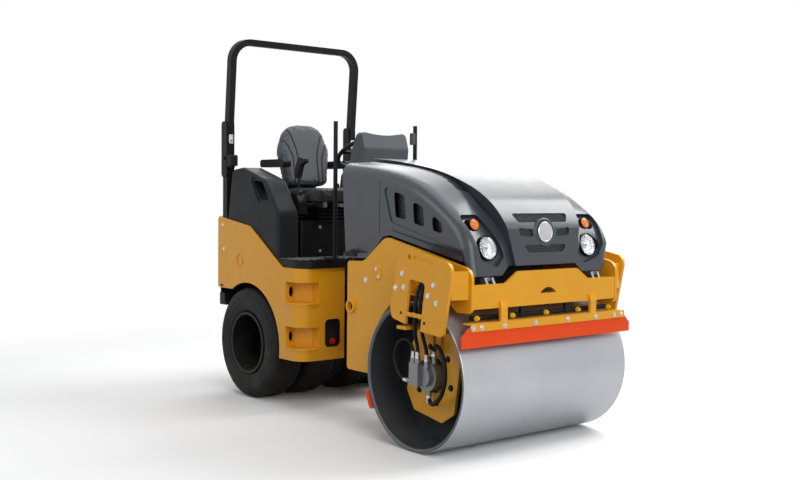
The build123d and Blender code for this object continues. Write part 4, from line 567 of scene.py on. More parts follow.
# a shape set where each ray meets the solid that carries it
def castShapes(shape, node, rays):
    found = []
    for number, (origin, direction) in enumerate(rays):
        place, normal = meet(node, origin, direction)
        if place is None:
            print("no seat on", node, "for ray", number)
        else:
            found.append(placed(shape, place, normal, boltLook["spin"] * number))
    return found


# rays that start beside the machine and look towards its middle, one for each x and z
def sideRays(spots, y):
    return [((x, y, z), (0, -math.copysign(1, y), 0)) for x, z in spots]


fromFront = (-1, 0, 0)


def frontRays(x, across, heights):
    return [((x, y, z), fromFront) for y in across for z in heights]


def bothCasts(shape, node, spots, y):
    far = castShapes(shape, node.replace("_right", "_left"), sideRays(spots, y))
    return castShapes(shape, node, sideRays(spots, -y)) + far


# places on a circle round an axle, in side view
def ringSpots(axle, radius, count, first=0.0):
    turn = math.radians(first) + np.arange(count) * 2 * math.pi / count
    return np.stack([axle[0] + radius * np.cos(turn), axle[2] + radius * np.sin(turn)], axis=1).tolist()


# fasteners on both sides: the near side's solid, the head's shape, where the rays start
# and the places in side view
sideFasteners = {
    "armBolts": {"solid": "drum_arm_right", "body": "front_frame", "bright": True,
                 "shape": hexBolt(0.0125), "from": 0.9,
                 "spots": [(0.947, 1.044), (0.885, 0.958), (0.962, 0.966), (1.225, 0.994),
                           (1.178, 0.931), (1.250, 0.895)]},
    "armScrews": {"solid": "drum_arm_right", "body": "front_frame", "bright": False,
                  "shape": roundHead(0.009), "from": 0.9, "spots": [(0.939, 0.816), (1.148, 0.775)]},
    "frameBolts": {"solid": "front_sides", "body": "front_frame", "bright": True,
                   "shape": hexBolt(0.013), "from": 0.9, "spots": [(0.446, 0.966)]},
    "carrierBolts": {"solid": "drum_arm_right", "body": "front_frame", "bright": False,
                     "shape": hexBolt(0.015), "from": 0.72, "spots": ringSpots(drumAxle, 0.166, 6, 40)},
    "skirtBolts": {"solid": "rear_skirt_right", "body": "rear_frame", "bright": True,
                   "shape": hexBolt(0.011), "from": 0.9, "spots": [(-1.372, 1.258), (-1.356, 1.078)]},
    "skirtRivets": {"solid": "rear_skirt_right", "body": "rear_frame", "bright": False,
                    "shape": roundHead(0.009), "from": 0.9, "spots": [(-1.400, 0.800), (-1.375, 0.800)]},
    "postBolts": {"solid": "rops_posts", "body": "rear_frame", "bright": True,
                  "shape": hexBolt(0.014), "from": 0.9, "spots": [(-1.370, 1.135), (-1.370, 1.215)]},
}
for name, look in sideFasteners.items():
    finish = ("bright_steel", "brightSteel") if look["bright"] else ("black_paint", "satinBlack")
    found = bothCasts(look["shape"], look["solid"], look["spots"], look["from"])
    if found:
        addPiece(name, found, look["body"], *finish, boltLook["sharp"])
barBolts = {"y": (-0.637, -0.570, -0.393, -0.145, 0.131, 0.381, 0.552, 0.620), "z": 0.770,
            "size": 0.0115, "from": 1.6}
pedestalBolts = {"y": (-0.220, 0.220), "z": (1.257, 1.082), "size": 0.010, "from": -0.4}
rays = frontRays(barBolts["from"], barBolts["y"], [barBolts["z"]])
found = castShapes(hexBolt(barBolts["size"]), "scraper_bar", rays)
addPiece("barBolts", found, "front_frame", "bright_steel", "brightSteel", boltLook["sharp"])
rays = frontRays(pedestalBolts["from"], pedestalBolts["y"], pedestalBolts["z"])
found = castShapes(hexBolt(pedestalBolts["size"]), "seat_pedestal", rays)
addPiece("pedestalBolts", found, "rear_frame", "bright_steel", "brightSteel", boltLook["sharp"])
print("fasteners set")

# wheel nuts on each outer disc
nutLook = {"ring": 0.145, "count": 8, "size": 0.0135, "from": 0.62}
for side, end in ((-1, "right"), (1, "left")):
    rays = sideRays(ringSpots(wheelAxle, nutLook["ring"], nutLook["count"]), side * nutLook["from"])
    found = castShapes(hexBolt(nutLook["size"]), "rims_" + end, rays)
    addPiece("wheelNuts" + end.capitalize(), found, "wheels_" + end, "bright_steel", "castMotor",
             boltLook["sharp"])

# tyres: ridges round the sidewall and shallow tread grooves
tyreLook = {
    # inset from the side face, radius
    "section": [(0.024, 0.225), (0.010, 0.240), (0.004, 0.275), (0.000, 0.327), (0.003, 0.352),
                (0.010, 0.377), (0.022, 0.394), (0.042, 0.4025)],
    "ridges": [(0.258, 0.0022), (0.292, 0.0026), (0.338, 0.0030), (0.362, 0.0024)],  # radius, height
    "ridgeWidth": 0.0045,
    "grooves": [0.072, 0.1325, 0.193],  # across the tread
    "grooveDepth": 0.004,
    "grooveWidth": 0.004,
    "crown": 0.0004,
    "width": 0.265,
    "starts": (0.353, 0.060),  # inner faces of the outer and the inner tyre, from the machine's middle
    "treadFrom": 0.004,  # from the shoulder's last point to the tread's first
    "sideSteps": 60,
    "treadSteps": 90,
    "segments": 144,
}


# half a section from bead to shoulder, smoothed and ridged, then the tread, then the other half in reverse
def tyreSection(look):
    width = look["width"]
    knots = np.array(look["section"])
    reach = np.concatenate([[0], np.cumsum(np.linalg.norm(np.diff(knots, axis=0), axis=1))])
    fine = np.linspace(0, reach[-1], look["sideSteps"])
    kernel = np.array([1, 2, 3, 2, 1]) / 9
    smooth = lambda line: np.concatenate([line[:2], np.convolve(line, kernel, "valid"), line[-2:]])
    inset, radius = (smooth(np.interp(fine, reach, column)) for column in knots.T)
    for centre, high in look["ridges"]:
        inset = inset - high * np.exp(-((radius - centre) / look["ridgeWidth"]) ** 2) + high * 0.5
    inset = np.maximum(inset, 0.0)
    gap = look["treadFrom"]
    across = np.linspace(inset[-1] + gap, width - inset[-1] - gap, look["treadSteps"])
    crown = radius[-1] + look["crown"] * (1 - ((across - width / 2) / (width / 2)) ** 2)
    for centre in look["grooves"]:
        crown = crown - look["grooveDepth"] * np.exp(-((across - centre) / look["grooveWidth"]) ** 4)
    side = np.stack([inset, radius], axis=1)
    other = np.stack([width - inset, radius], axis=1)[::-1]
    return np.concatenate([side, np.stack([across, crown], axis=1), other])


# the section carried round the axle; inset becomes the place across the machine
def tyre(look, start, side):
    section = tyreSection(look)
    turn = np.linspace(0, 2 * math.pi, look["segments"], endpoint=False)
    radius, across = section[:, 1:], np.repeat(section[:, :1], look["segments"], axis=1)
    x = wheelAxle[0] + radius * np.cos(turn)
    y = side * (start + look["width"] - across)
    z = wheelAxle[2] + radius * np.sin(turn)
    return np.stack([x, y, z], axis=-1).reshape(-1, 3), gridFaces(len(section), look["segments"], True)


for side, end in ((-1, "right"), (1, "left")):
    shapes = [tyre(tyreLook, start, side) for start in tyreLook["starts"]]
    piece = addPiece("tyres" + end.capitalize(), shapes, "wheels_" + end, "tyre", "tyreRubber", 50)
    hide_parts("tyres_" + end)
print("tyres and wheel nuts set")

# head lamps: a turned shell with bezel, a bowl with flutes, a bulb shield and a domed glass;
# turn lamps: a base and a lens
headLamp = {"place": (1.338, 0.425, 1.203), "lean": 15.0, "radius": 0.073, "depth": 0.064, "dome": 0.008,
            "flutes": 20, "fluteDeep": 0.0022, "fluteFrom": 0.3, "steps": 4.0, "stepDeep": 0.0016,
            "bowl": 0.885, "bowlDeep": 0.62, "bowlSkins": (0.005, 0.0095), "glassThick": 0.003}
turnLamp = {"place": (1.272, 0.472, 1.335), "lean": 22.0, "radius": 0.038, "depth": 0.066, "dome": 0.008,
            "ribs": 5, "ribHigh": 0.0008}


# the direction of a piece that looks forwards and up by its lean
def leanAxis(look):
    lean = math.radians(look["lean"])
    return (math.cos(lean), 0.0, math.sin(lean))


# bowl: a parabola whose depth ripples with flutes round it and steps out from the middle, with a plain back
def lampBowl(look):
    r, d = look["radius"], look["depth"]
    turn = np.linspace(0, 2 * math.pi, 160, endpoint=False)
    out = np.linspace(0.0, look["bowl"], 40)[:, None]
    flutes = look["fluteDeep"] * np.abs(np.sin(look["flutes"] / 2 * turn))[None] * (out > look["fluteFrom"])
    ripple = flutes + look["stepDeep"] * np.abs(np.sin(math.pi * out * look["steps"]))
    cup = -look["bowlDeep"] * d * (1 - (out / look["bowl"]) ** 2)
    front = cup - look["bowlSkins"][0] - ripple * (1 - (out / look["bowl"]) ** 8)
    back = np.broadcast_to(cup - look["bowlSkins"][1], front.shape)
    skins = [np.stack([out * r * np.cos(turn), out * r * np.sin(turn), high], axis=-1)
             for high in (front, back)]
    return np.concatenate([skins[0], skins[1][::-1]]).reshape(-1, 3), gridFaces(2 * len(out), len(turn))


def headLampParts(look):
    r, d = look["radius"], look["depth"]
    shell = turned([(0, -d), (0.55 * r, -d), (0.92 * r, -0.45 * d), (r, -0.4 * d), (r, 0.001),
                    (0.97 * r, 0.004), (0.92 * r, 0.003), (0.9 * r, -0.002), (0.9 * r, -0.006),
                    (0.86 * r, -0.35 * d), (0.5 * r, -0.9 * d), (0, -0.9 * d)], 64)
    bulb = turned([(0, -0.55 * d), (0.16 * r, -0.55 * d), (0.16 * r, -0.3 * d), (0.12 * r, -0.22 * d),
                   (0, -0.2 * d)], 24)
    arc = np.linspace(0, 1, 12)
    face = np.stack([0.9 * r * arc, look["dome"] * (1 - arc ** 2) - 0.0005], axis=1)
    glass = turned(np.concatenate([face, (face - (0, look["glassThick"]))[::-1]]), 64)
    return shell, lampBowl(look), bulb, glass


def turnLampParts(look):
    r, d = look["radius"], look["depth"]
    base = turned([(0, -d), (0.7 * r, -d), (r, -0.6 * d), (r, -0.002), (0.96 * r, 0), (0.86 * r, 0),
                   (0.86 * r, -0.012), (0, -0.012)], 40)
    out = np.linspace(0, 1, 60)
    ribs = look["ribHigh"] * np.cos(out * math.pi * 2 * look["ribs"])
    lens = np.stack([0.87 * r * out, look["dome"] * (1 - out ** 3) - 0.001 + ribs * (1 - out ** 6)], axis=1)
    return base, turned(np.concatenate([lens, [(0.87 * r, -0.010), (0, -0.010)]]), 48)


def addLampPart(name, shape, look, slot, finish, sharp):
    shapes = bothSides([placed(shape, look["place"], leanAxis(look))])
    return addPiece(name, shapes, "hood_body", slot, finish, sharp)


shell, bowl, bulb, glass = headLampParts(headLamp)
lampShells = addLampPart("lampShells", shell, headLamp, "black_plastic", "mouldedBlack", 30)
addLampPart("lampBowls", bowl, headLamp, "lamp_clear", "mirrorBowl", 20)
addLampPart("lampBulbs", bulb, headLamp, "lamp_clear", "brightSteel", 30)
addLampPart("lampGlass", glass, headLamp, "lamp_clear", "clearGlass", 40)
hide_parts("head_lamps")
base, lens = turnLampParts(turnLamp)
turnBases = addLampPart("turnBases", base, turnLamp, "black_plastic", "mouldedBlack", 30)
addLampPart("turnLenses", lens, turnLamp, "lamp_amber", "amberLens", 25)
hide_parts("turn_lamps")
print("lamps set")

# expanded metal behind the vents: two families of flat strands, each cut to its opening
latticeLook = {
    "pitch": 0.0135, "lean": 32.0, "width": 0.0026, "thick": 0.0022, "face": 0.5615, "grow": 0.012,
    "standOff": 0.8,  # of the second family, as a share of the thickness
    "from": 1.6,  # where the rays to the nose start
    # corners in millimetres: along and up for the vents, across and up for the grilles
    "vents": [[(686, 1520), (790, 1496), (808, 1350), (704, 1366)],
              [(866, 1462), (962, 1430), (980, 1312), (880, 1332)],
              [(1040, 1392), (1126, 1340), (1142, 1276), (1052, 1296)]],
    "grilles": [[(-240, 1398), (240, 1398), (200, 1346), (-200, 1346)],
                [(-218, 1316), (-104, 1304), (-94, 1260), (-206, 1270)],
                [(218, 1316), (104, 1304), (94, 1260), (206, 1270)],
                [(-190, 1214), (190, 1214), (140, 1170), (-140, 1170)]],
}


# evenly spaced parallel lines inside a convex opening: each one ends at its nearest
# and furthest edge crossing
def strandEnds(corners, lean, pitch, grow):
    middle = corners.mean(axis=0)
    reach = np.linalg.norm(corners - middle, axis=1, keepdims=True)
    corners = middle + (corners - middle) * (1 + grow / reach)
    along = np.array([math.cos(lean), math.sin(lean)])
    aside = np.array([-along[1], along[0]])
    heights = corners @ aside
    offsets = np.arange(heights.min() + pitch / 2, heights.max(), pitch)
    a, b = corners, np.roll(corners, -1, axis=0)
    rise = (b - a) @ aside
    share = (offsets[:, None] - a @ aside) / np.where(np.abs(rise) < 1e-9, 1e-9, rise)
    hit = (share >= 0) & (share <= 1)
    run = a @ along + share * ((b - a) @ along)
    low, high = np.where(hit, run, np.inf).min(axis=1), np.where(hit, run, -np.inf).max(axis=1)
    keep = high - low > pitch * 0.5
    return [line[keep, None] * along + offsets[keep, None] * aside for line in (low, high)]


# strands as thin four-sided bars: a rectangle carried along each line's points
def strandBars(lines, up, look):
    along = np.gradient(lines, axis=1)  # strand, point, xyz
    along /= np.linalg.norm(along, axis=2, keepdims=True)
    aside = np.cross(along, up)
    aside /= np.linalg.norm(aside, axis=2, keepdims=True)
    rise = np.cross(aside, along)
    corner = [(1, 1), (-1, 1), (-1, -1), (1, -1)]
    rings = [lines + aside * sx * look["width"] / 2 + rise * sy * look["thick"] / 2 for sx, sy in corner]
    ends = np.repeat(lines[:, [0, -1]][:, :, None], 4, axis=2)
    rings = np.concatenate([ends[:, :1], np.stack(rings, axis=2), ends[:, 1:]], axis=1)
    count, steps = rings.shape[:2]
    faces = gridFaces(steps, 4)[None] + (np.arange(count) * steps * 4)[:, None, None]
    return rings.reshape(-1, 3), faces.reshape(-1, 4)


# both families of each opening: how far they stand off, and their ends
def crossedStrands(openings, look):
    for opening in openings:
        for sign, depth in ((1, 0.0), (-1, look["thick"] * look["standOff"])):
            lean = sign * math.radians(look["lean"])
            yield (depth, *strandEnds(np.array(opening) / 1000, lean, look["pitch"], look["grow"]))


def ventLattice(look):
    shapes = []
    for depth, start, end in crossedStrands(look["vents"], look):
        ends = np.stack([start, end], axis=1)
        face = np.full(ends.shape[:2], -look["face"] - look["thick"] / 2 - depth)
        shapes.append(strandBars(np.stack([ends[..., 0], face, ends[..., 1]], axis=-1), (0, 1, 0), look))
    return shapes


# in the nose the strands follow the mesh panel, met by rays from the front
def grilleLattice(look):
    shapes = []
    share = np.linspace(0, 1, 9)[None, :, None]
    for depth, start, end in crossedStrands(look["grilles"], look):
        flat = start[:, None] * (1 - share) + end[:, None] * share
        reach = [[meet("hood_mesh", (look["from"], y, z), fromFront)[0] for y, z in line] for line in flat]
        keep = [number for number, line in enumerate(reach) if all(line)]
        if keep:
            x = np.array([[spot.x for spot in reach[number]] for number in keep]) + look["thick"] / 2 + depth
            shapes.append(strandBars(np.concatenate([x[..., None], flat[keep]], axis=-1), (1, 0, 0), look))
    return shapes


addPiece("ventMesh", bothSides(ventLattice(latticeLook)), "hood_body", "mesh_black", "strandGrey")
addPiece("grilleMesh", grilleLattice(latticeLook), "hood_body", "mesh_black", "strandGrey")
print("lattice set")

# nose: a bare turned silver disc with a rounded edge, and a raised half-round ring about it
# in the hood's paint
noseDisc = {"place": (1.370, 0.0, 1.288), "lean": 6.0, "stand": 0.008, "radius": 0.060}
noseRing = {"inner": 0.062, "outer": 0.084, "high": 0.007, "foot": 0.02}


def noseDiscShape(look):
    r = look["radius"]
    axis = leanAxis(look)
    shape = turned([(0, -0.002), (r, -0.002), (r, 0.002), (0.96 * r, 0.004), (0.9 * r, 0.004),
                    (0.88 * r, 0.003), (0.6 * r, 0.0038), (0, 0.0042)], 64)
    return placed(shape, np.array(look["place"]) + look["stand"] * np.array(axis), axis)


def noseRingShape(look):
    turn = np.linspace(0, math.pi, 11)
    middle, half = (look["outer"] + look["inner"]) / 2, (look["outer"] - look["inner"]) / 2
    section = np.stack([middle - half * np.cos(turn), look["high"] * np.sin(turn)], axis=1)
    section = np.concatenate([[(look["inner"], -look["foot"])], section, [(look["outer"], -look["foot"])]])
    return placed(turned(section, 64, closed=True), noseDisc["place"], leanAxis(noseDisc))


addPiece("noseRing", [noseRingShape(noseRing)], "hood_body", "hood_grey", "slateHood", 40)
addPiece("noseDisc", [noseDiscShape(noseDisc)], "hood_body", "bright_steel", "brightSteel")


def meshPoints(mesh):
    flat = np.empty(len(mesh.vertices) * 3)
    mesh.vertices.foreach_get("co", flat)
    return flat.reshape(-1, 3)


def setPoints(mesh, points):
    mesh.vertices.foreach_set("co", points.ravel())
    mesh.update()


# hood: a copy of the hood's shell with fuller sides and front corners, and shoulders
# that slope up to the spine
hoodLook = {
    "node": "hood",
    "out": 0.030,  # metres that the sides move outwards
    "ahead": 0.020,  # metres that the front corners move forwards
    "sideFrom": (0.36, 0.55),  # distance from the middle over which the move grows
    "riseFrom": (1.115, 1.19),  # height over which it grows
    "aheadFrom": (1.12, 1.30),
    # side view lines of the spine's top and of the shoulders: place along the machine, height
    "spine": [(0.168, 1.736), (0.520, 1.702), (0.850, 1.640), (1.110, 1.556), (1.286, 1.440)],
    "shoulder": [(0.168, 1.688), (0.560, 1.652), (0.900, 1.566), (1.150, 1.438), (1.290, 1.318)],
    "foot": (0.388, -0.036),  # the spine's half width at its rear foot, and its change along the machine
    "edge": 0.572,
    "step": 0.22,  # share of the spine's step that stays at the rear
    "stepFrom": (0.92, 1.30),
    "skinFrom": (-0.10, -0.03),  # height against the shoulder over which the lift grows
    "footFrom": (-0.035, -0.010),  # distance from the spine's foot over which it grows
    "gap": 1e-6,  # points nearer than this are merged
}


# a step from 0 to 1 with flat ends between two values
def easeStep(value, ends):
    share = np.clip((value - ends[0]) / (ends[1] - ends[0]), 0, 1)
    return share * share * (3 - 2 * share)


# a cubic fitted to side view points
def sideLine(knots, x):
    return np.polyval(np.polyfit(*np.array(knots).T, 3), x)


# each point moves out and forward by steps of its place, and its drop below the spine gets smaller:
# most beside the spine, not at all at the outer edge
def swellHood(points, look):
    x, y, z = points.T
    aside = np.abs(y)
    grow = easeStep(aside, look["sideFrom"]) * easeStep(z, look["riseFrom"])
    foot = look["foot"][0] + look["foot"][1] * (x - look["spine"][0][0])
    kept = look["step"] + (1 - look["step"]) * easeStep(x, look["stepFrom"])
    scale = kept + (1 - kept) * np.clip((aside - foot) / (look["edge"] - foot), 0, 1)
    skin = (easeStep(z - sideLine(look["shoulder"], x), look["skinFrom"])
            * easeStep(aside - foot, look["footFrom"]))
    lift = skin * (1 - scale) * np.maximum(sideLine(look["spine"], x) - z, 0)
    ahead = look["ahead"] * grow * easeStep(x, look["aheadFrom"])
    return points + np.stack([ahead, np.sign(y) * look["out"] * grow, lift], axis=1)


# the shell's own smooth shading follows the move: each normal goes through the inverse of the move's slopes
def movedNormals(corners, normals, look, step=0.0005):
    shifts = np.eye(3) * step
    slopes = [(swellHood(corners + shift, look) - swellHood(corners - shift, look)) / (2 * step)
              for shift in shifts]
    inverse = np.linalg.inv(np.stack(slopes, axis=2))
    moved = np.einsum("nij,ni->nj", inverse, normals)
    return moved / np.linalg.norm(moved, axis=1, keepdims=True)


def fullHood(look):
    mesh = nodes[look["node"]].data.copy()
    mesh.name = "hoodShell"
    normals = np.empty(len(mesh.loops) * 3)
    mesh.corner_normals.foreach_get("vector", normals)
    mergeDoubles(mesh, look["gap"])
    points = meshPoints(mesh)
    index = np.empty(len(mesh.loops), int)
    mesh.loops.foreach_get("vertex_index", index)
    setPoints(mesh, swellHood(points, look))
    smoothAll(mesh)
    if len(index) * 3 == len(normals):
        mesh.normals_split_custom_set(movedNormals(points[index], normals.reshape(-1, 3), look))
    shell = newObject("hoodShell", mesh)
    carry(shell, "hood_body", "slateHood")
    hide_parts(look["node"])


fullHood(hoodLook)
print("hood set")

# seat: the cushion and the backrest swell under air pressure as cloth, then get their seams, each with a
# dark line of painted shade along its groove
seatLook = {
    "voxel": 0.006,
    "pressure": 4.0,
    "frames": 20,
    "cushion": {"node": "seat_cushion", "shrink": 0.975, "cap": 0.014, "finish": "cushionVinyl"},
    "back": {"node": "seat_back", "shrink": 0.972, "cap": 0.014, "finish": "seatVinyl"},
    "backFoot": (-0.995, -0.080, 1.552),
    "backLean": 9.0,
    "backHigh": 0.490,
    "channelWide": 0.0055,
    "channelDeep": 0.008,
    "channelFacing": 2.5,  # how soon a seam is full on faces that turn towards its front
    "seamShadeWidth": 0.7,  # width of its dark line of painted shade, as a share of its own
    # share of the height, distance from the middle
    "innerChannel": [(0.02, 0.090), (0.45, 0.086), (0.60, 0.100), (0.83, 0.142), (0.97, 0.150)],
    "outerChannel": [(0.02, 0.125), (0.45, 0.130), (0.62, 0.165), (0.80, 0.210)],
    "frontRoll": -0.630,  # x of the seam behind the cushion's front roll
    "sideSeam": 0.058,  # from the cushion's sides
    "fill": 0.7,
}


def bakeModifiers(piece):
    graph = bpy.context.evaluated_depsgraph_get()
    mesh = bpy.data.meshes.new_from_object(piece.evaluated_get(graph))
    piece.modifiers.clear()
    old = piece.data
    piece.data = mesh
    bpy.data.meshes.remove(old)


# air pressure pushes the pad's cloth out, and no point moves further than the cap
def blowUp(pad, cap):
    before = meshPoints(pad.data)
    cloth = pad.modifiers.new("air", "CLOTH")
    cloth.settings.use_pressure = True
    cloth.settings.uniform_pressure_force = seatLook["pressure"]
    cloth.settings.effector_weights.gravity = 0
    cloth.point_cache.frame_start = 1
    cloth.point_cache.frame_end = seatLook["frames"]
    for step in range(1, seatLook["frames"] + 1):
        scene.frame_set(step)
    bakeModifiers(pad)
    scene.frame_set(1)
    move = meshPoints(pad.data) - before
    length = np.linalg.norm(move, axis=1, keepdims=True)
    setPoints(pad.data, before + move * np.minimum(1, cap / np.maximum(length, 1e-9)))


# a pad: the solid's own shape drawn in a little, remeshed, blown up and made finer
def softPad(name, look):
    mesh = nodes[look["node"]].data.copy()
    mesh.name = name
    mesh.materials.clear()
    mergeDoubles(mesh)
    points = meshPoints(mesh)
    middle = (points.min(axis=0) + points.max(axis=0)) / 2
    setPoints(mesh, middle + (points - middle) * look["shrink"])
    pad = newObject(name, mesh)
    remesh = pad.modifiers.new("remesh", "REMESH")
    remesh.mode = "VOXEL"
    remesh.voxel_size = seatLook["voxel"]
    bakeModifiers(pad)
    blowUp(pad, look["cap"])
    finer = pad.modifiers.new("finer", "SUBSURF")
    finer.levels = finer.render_levels = 1
    bakeModifiers(pad)
    smoothAll(pad.data)
    carry(pad, "rear_frame", look["finish"])
    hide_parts(look["node"])
    return pad


# a seam: points sink along a direction by a bell curve of their distance from the seam's line, and a
# narrower dark line of painted shade is stored on the points
def sinkSeam(mesh, distance, inward, facing):
    points = meshPoints(mesh)
    normals = np.empty(len(mesh.vertices) * 3)
    mesh.vertices.foreach_get("normal", normals)
    front = np.clip(normals.reshape(-1, 3) @ np.asarray(facing) * seatLook["channelFacing"], 0, 1)
    bell = np.exp(-(distance / seatLook["channelWide"]) ** 2) * front
    setPoints(mesh, points + bell[:, None] * seatLook["channelDeep"] * np.asarray(inward))
    # painted shade: the mask of a dark line along the groove's bottom, narrower than the groove
    layer = mesh.attributes.get("seamShade") or mesh.attributes.new("seamShade", "FLOAT", "POINT")
    old = np.empty(len(mesh.vertices))
    layer.data.foreach_get("value", old)
    seamShadeLine = np.exp(-(distance / (seatLook["seamShadeWidth"] * seatLook["channelWide"])) ** 4) * front
    layer.data.foreach_set("value", np.maximum(old, seamShadeLine))


def sewBack(pad):
    lean = math.radians(seatLook["backLean"])
    rise = np.array([-math.sin(lean), 0, math.cos(lean)])
    out = np.array([math.cos(lean), 0, math.sin(lean)])
    for key in ("innerChannel", "outerChannel"):
        line = np.array(seatLook[key])
        away = meshPoints(pad.data) - np.array(seatLook["backFoot"])
        share = away @ rise / seatLook["backHigh"]
        wide = np.interp(share, line[:, 0], line[:, 1])
        beyond = np.maximum(0, np.maximum(line[0, 0] - share, share - line[-1, 0])) * seatLook["backHigh"]
        distance = np.hypot(np.abs(away[:, 1]) - wide, beyond)
        sinkSeam(pad.data, distance, -out, out)


def sewCushion(pad):
    low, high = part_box("seat_cushion")
    up, down = (0, 0, 1), (0, 0, -1)
    sinkSeam(pad.data, np.abs(meshPoints(pad.data)[:, 0] - seatLook["frontRoll"]), down, up)
    x, y, _ = meshPoints(pad.data).T
    middle, half = (low[1] + high[1]) / 2, (high[1] - low[1]) / 2 - seatLook["sideSeam"]
    beyond = np.maximum(0, x - seatLook["frontRoll"])
    sinkSeam(pad.data, np.hypot(np.abs(np.abs(y - middle) - half), beyond), down, up)


cushion = softPad("seatCushionSoft", seatLook["cushion"])
sewCushion(cushion)
backrest = softPad("seatBackSoft", seatLook["back"])
sewBack(backrest)
print("seat sewn:", len(cushion.data.vertices), "and", len(backrest.data.vertices), "points")

# deck tread: low lozenges in rows, turned by quarter steps, left out under what stands on the deck
treadLook = {"pitch": 0.034, "long": 0.0125, "wide": 0.0042, "high": 0.0024, "sunk": 0.0005, "narrow": 0.72,
             "edge": 0.020, "x": (-1.30, -0.315), "y": 0.575, "top": 1.045,
             "railFoot": (-0.300, 0.355, 0.075),  # x, distance from the middle, clear radius
             "under": ("seat_pedestal", "console_right", "console_left", "steering_column", "rops_posts")}


# a lozenge: four corners at the foot, four nearer at the top
def lozenges(look):
    along, across = np.arange(*look["x"], look["pitch"]), np.arange(-look["y"], look["y"], look["pitch"])
    x, y = np.meshgrid(along, across, indexing="ij")
    odd = (np.arange(len(along))[:, None] + np.arange(len(across))[None]) % 2
    turn = np.where(odd, 0.25 * math.pi, 0.75 * math.pi)
    spots = np.stack([x, y, turn], axis=-1).reshape(-1, 3)
    keep = np.ones(len(spots), bool)
    for node in look["under"]:
        low, high = (np.array(corner)[:2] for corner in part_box(node))
        keep &= ~np.all((spots[:, :2] > low - look["edge"]) & (spots[:, :2] < high + look["edge"]), axis=1)
    footX, footY, clear = look["railFoot"]
    keep &= np.hypot(spots[:, 0] - footX, np.abs(spots[:, 1]) - footY) > clear
    spots = spots[keep]
    foot = np.array([(look["long"], 0), (0, look["wide"]), (-look["long"], 0), (0, -look["wide"])])
    rings = np.concatenate([np.column_stack([foot, np.full(4, -look["sunk"])]),
                            np.column_stack([foot * look["narrow"], np.full(4, look["high"])])])
    c, s = np.cos(spots[:, 2])[:, None], np.sin(spots[:, 2])[:, None]
    px = spots[:, :1] + rings[None, :, 0] * c - rings[None, :, 1] * s
    py = spots[:, 1:2] + rings[None, :, 0] * s + rings[None, :, 1] * c
    pz = np.broadcast_to(look["top"] + rings[:, 2], px.shape)
    faces = np.concatenate([gridFaces(2, 4), [[4, 5, 6, 7]], [[3, 2, 1, 0]]])
    faces = faces[None] + (np.arange(len(spots)) * 8)[:, None, None]
    return np.stack([px, py, pz], axis=-1).reshape(-1, 3), faces.reshape(-1, 4)


addPiece("deckTread", [lozenges(treadLook)], "rear_frame", "black_paint", "treadSteel", 20)
print("deck tread set")

# hose ends: a crimped sleeve with ridges and a six-sided nut at each port of the drum motors
ferruleLook = {
    # place from the drum's axle, direction of the hose, hose radius
    "ends": [((-0.034, -0.625, 0.100), (0, 0, 1), 0.011), ((0.022, -0.604, 0.088), (0, 0, 1), 0.011),
             ((0.044, -0.566, 0.118), (0, 0, 1), 0.013), ((0.0, -0.566, -0.118), (0, 0, -1), 0.013),
             ((-0.074, -0.625, 0.100), (0, 0, 1), 0.009), ((-0.118, -0.625, -0.040), (-1, 0, 0), 0.009)],
    "long": 0.040, "ridges": 4, "ridgeHigh": 0.0009, "wall": 0.0026,
    "nutLong": 0.016, "nutWall": 0.0075, "chamfer": 0.0015,
    "bore": 0.9,  # share of the hose's radius
}


# the sleeve's radius waves along its length; the nut is a turned profile with a six-sided ring
def ferrule(radius, look):
    bore, nutLong, chamfer = radius * look["bore"], look["nutLong"], look["chamfer"]
    along = np.linspace(0, 1, 41)
    wave = radius + look["wall"] + look["ridgeHigh"] * np.cos(along * 2 * math.pi * look["ridges"])
    sleeve = np.stack([wave, nutLong + along * (look["long"] - nutLong)], axis=1)
    sleeve = np.concatenate([[(bore, nutLong)], sleeve, [(bore, look["long"])]])
    flat = radius + look["nutWall"]
    nut = [(bore, 0.0), (flat - chamfer, 0.0), (flat, chamfer), (flat, nutLong - chamfer),
           (flat - chamfer, nutLong), (bore, nutLong)]
    return turned(sleeve, 24, closed=True), turned(nut, 24, hexRing, closed=True)


def ferrules(look):
    shapes = []
    for place, way, radius in look["ends"]:
        origin = np.array(place) + np.array(drumAxle)
        shapes += [placed(shape, origin, way) for shape in ferrule(radius, look)]
    return bothSides(shapes)


addPiece("hoseFerrules", ferrules(ferruleLook), "front_frame", "bright_steel", "brightSteel", 25)

# bolts of the hose clamps, on the strip where the risers pass the arm
clampLook = {"spots": [(1.007, 0.812), (1.052, 0.816), (1.107, 0.805)], "size": 0.009, "from": 0.9}
found = bothCasts(hexBolt(clampLook["size"]), "drum_arm_right", clampLook["spots"], clampLook["from"])
addPiece("clampBolts", found, "front_frame", "yellow_paint", "amberPaint", boltLook["sharp"])

# tie hoop on each carrier: two legs and a half circle below them, as one tube
tieHoop = {"middle": (1.033, -0.539, 0.640), "radius": 0.036, "leg": 0.030, "tube": 0.0085}


def tieHoopShape(look):
    turn = np.linspace(math.pi, 2 * math.pi, 25)
    arc = np.stack([look["radius"] * np.cos(turn), np.zeros(25), look["radius"] * np.sin(turn)], axis=1)
    legs = np.array([[-look["radius"], 0, look["leg"]], [look["radius"], 0, look["leg"]]])
    path = np.concatenate([legs[:1], arc, legs[1:]]) + np.array(look["middle"])
    return tube(path, look["tube"], (0, 1, 0))


addPiece("tieHoops", bothSides([tieHoopShape(tieHoop)]), "front_frame", "yellow_paint", "amberPaint", 40)

# lock plate on the front frame's side: a yellow plate held by two bolts
lockPlate = {"x": (0.537, 0.601), "z": (0.978, 1.059), "thick": 0.007, "corner": 0.010, "edge": 0.002,
             "bolt": 0.009, "bolts": [(-0.012, 0.022), (0.012, -0.022)], "from": 0.9}


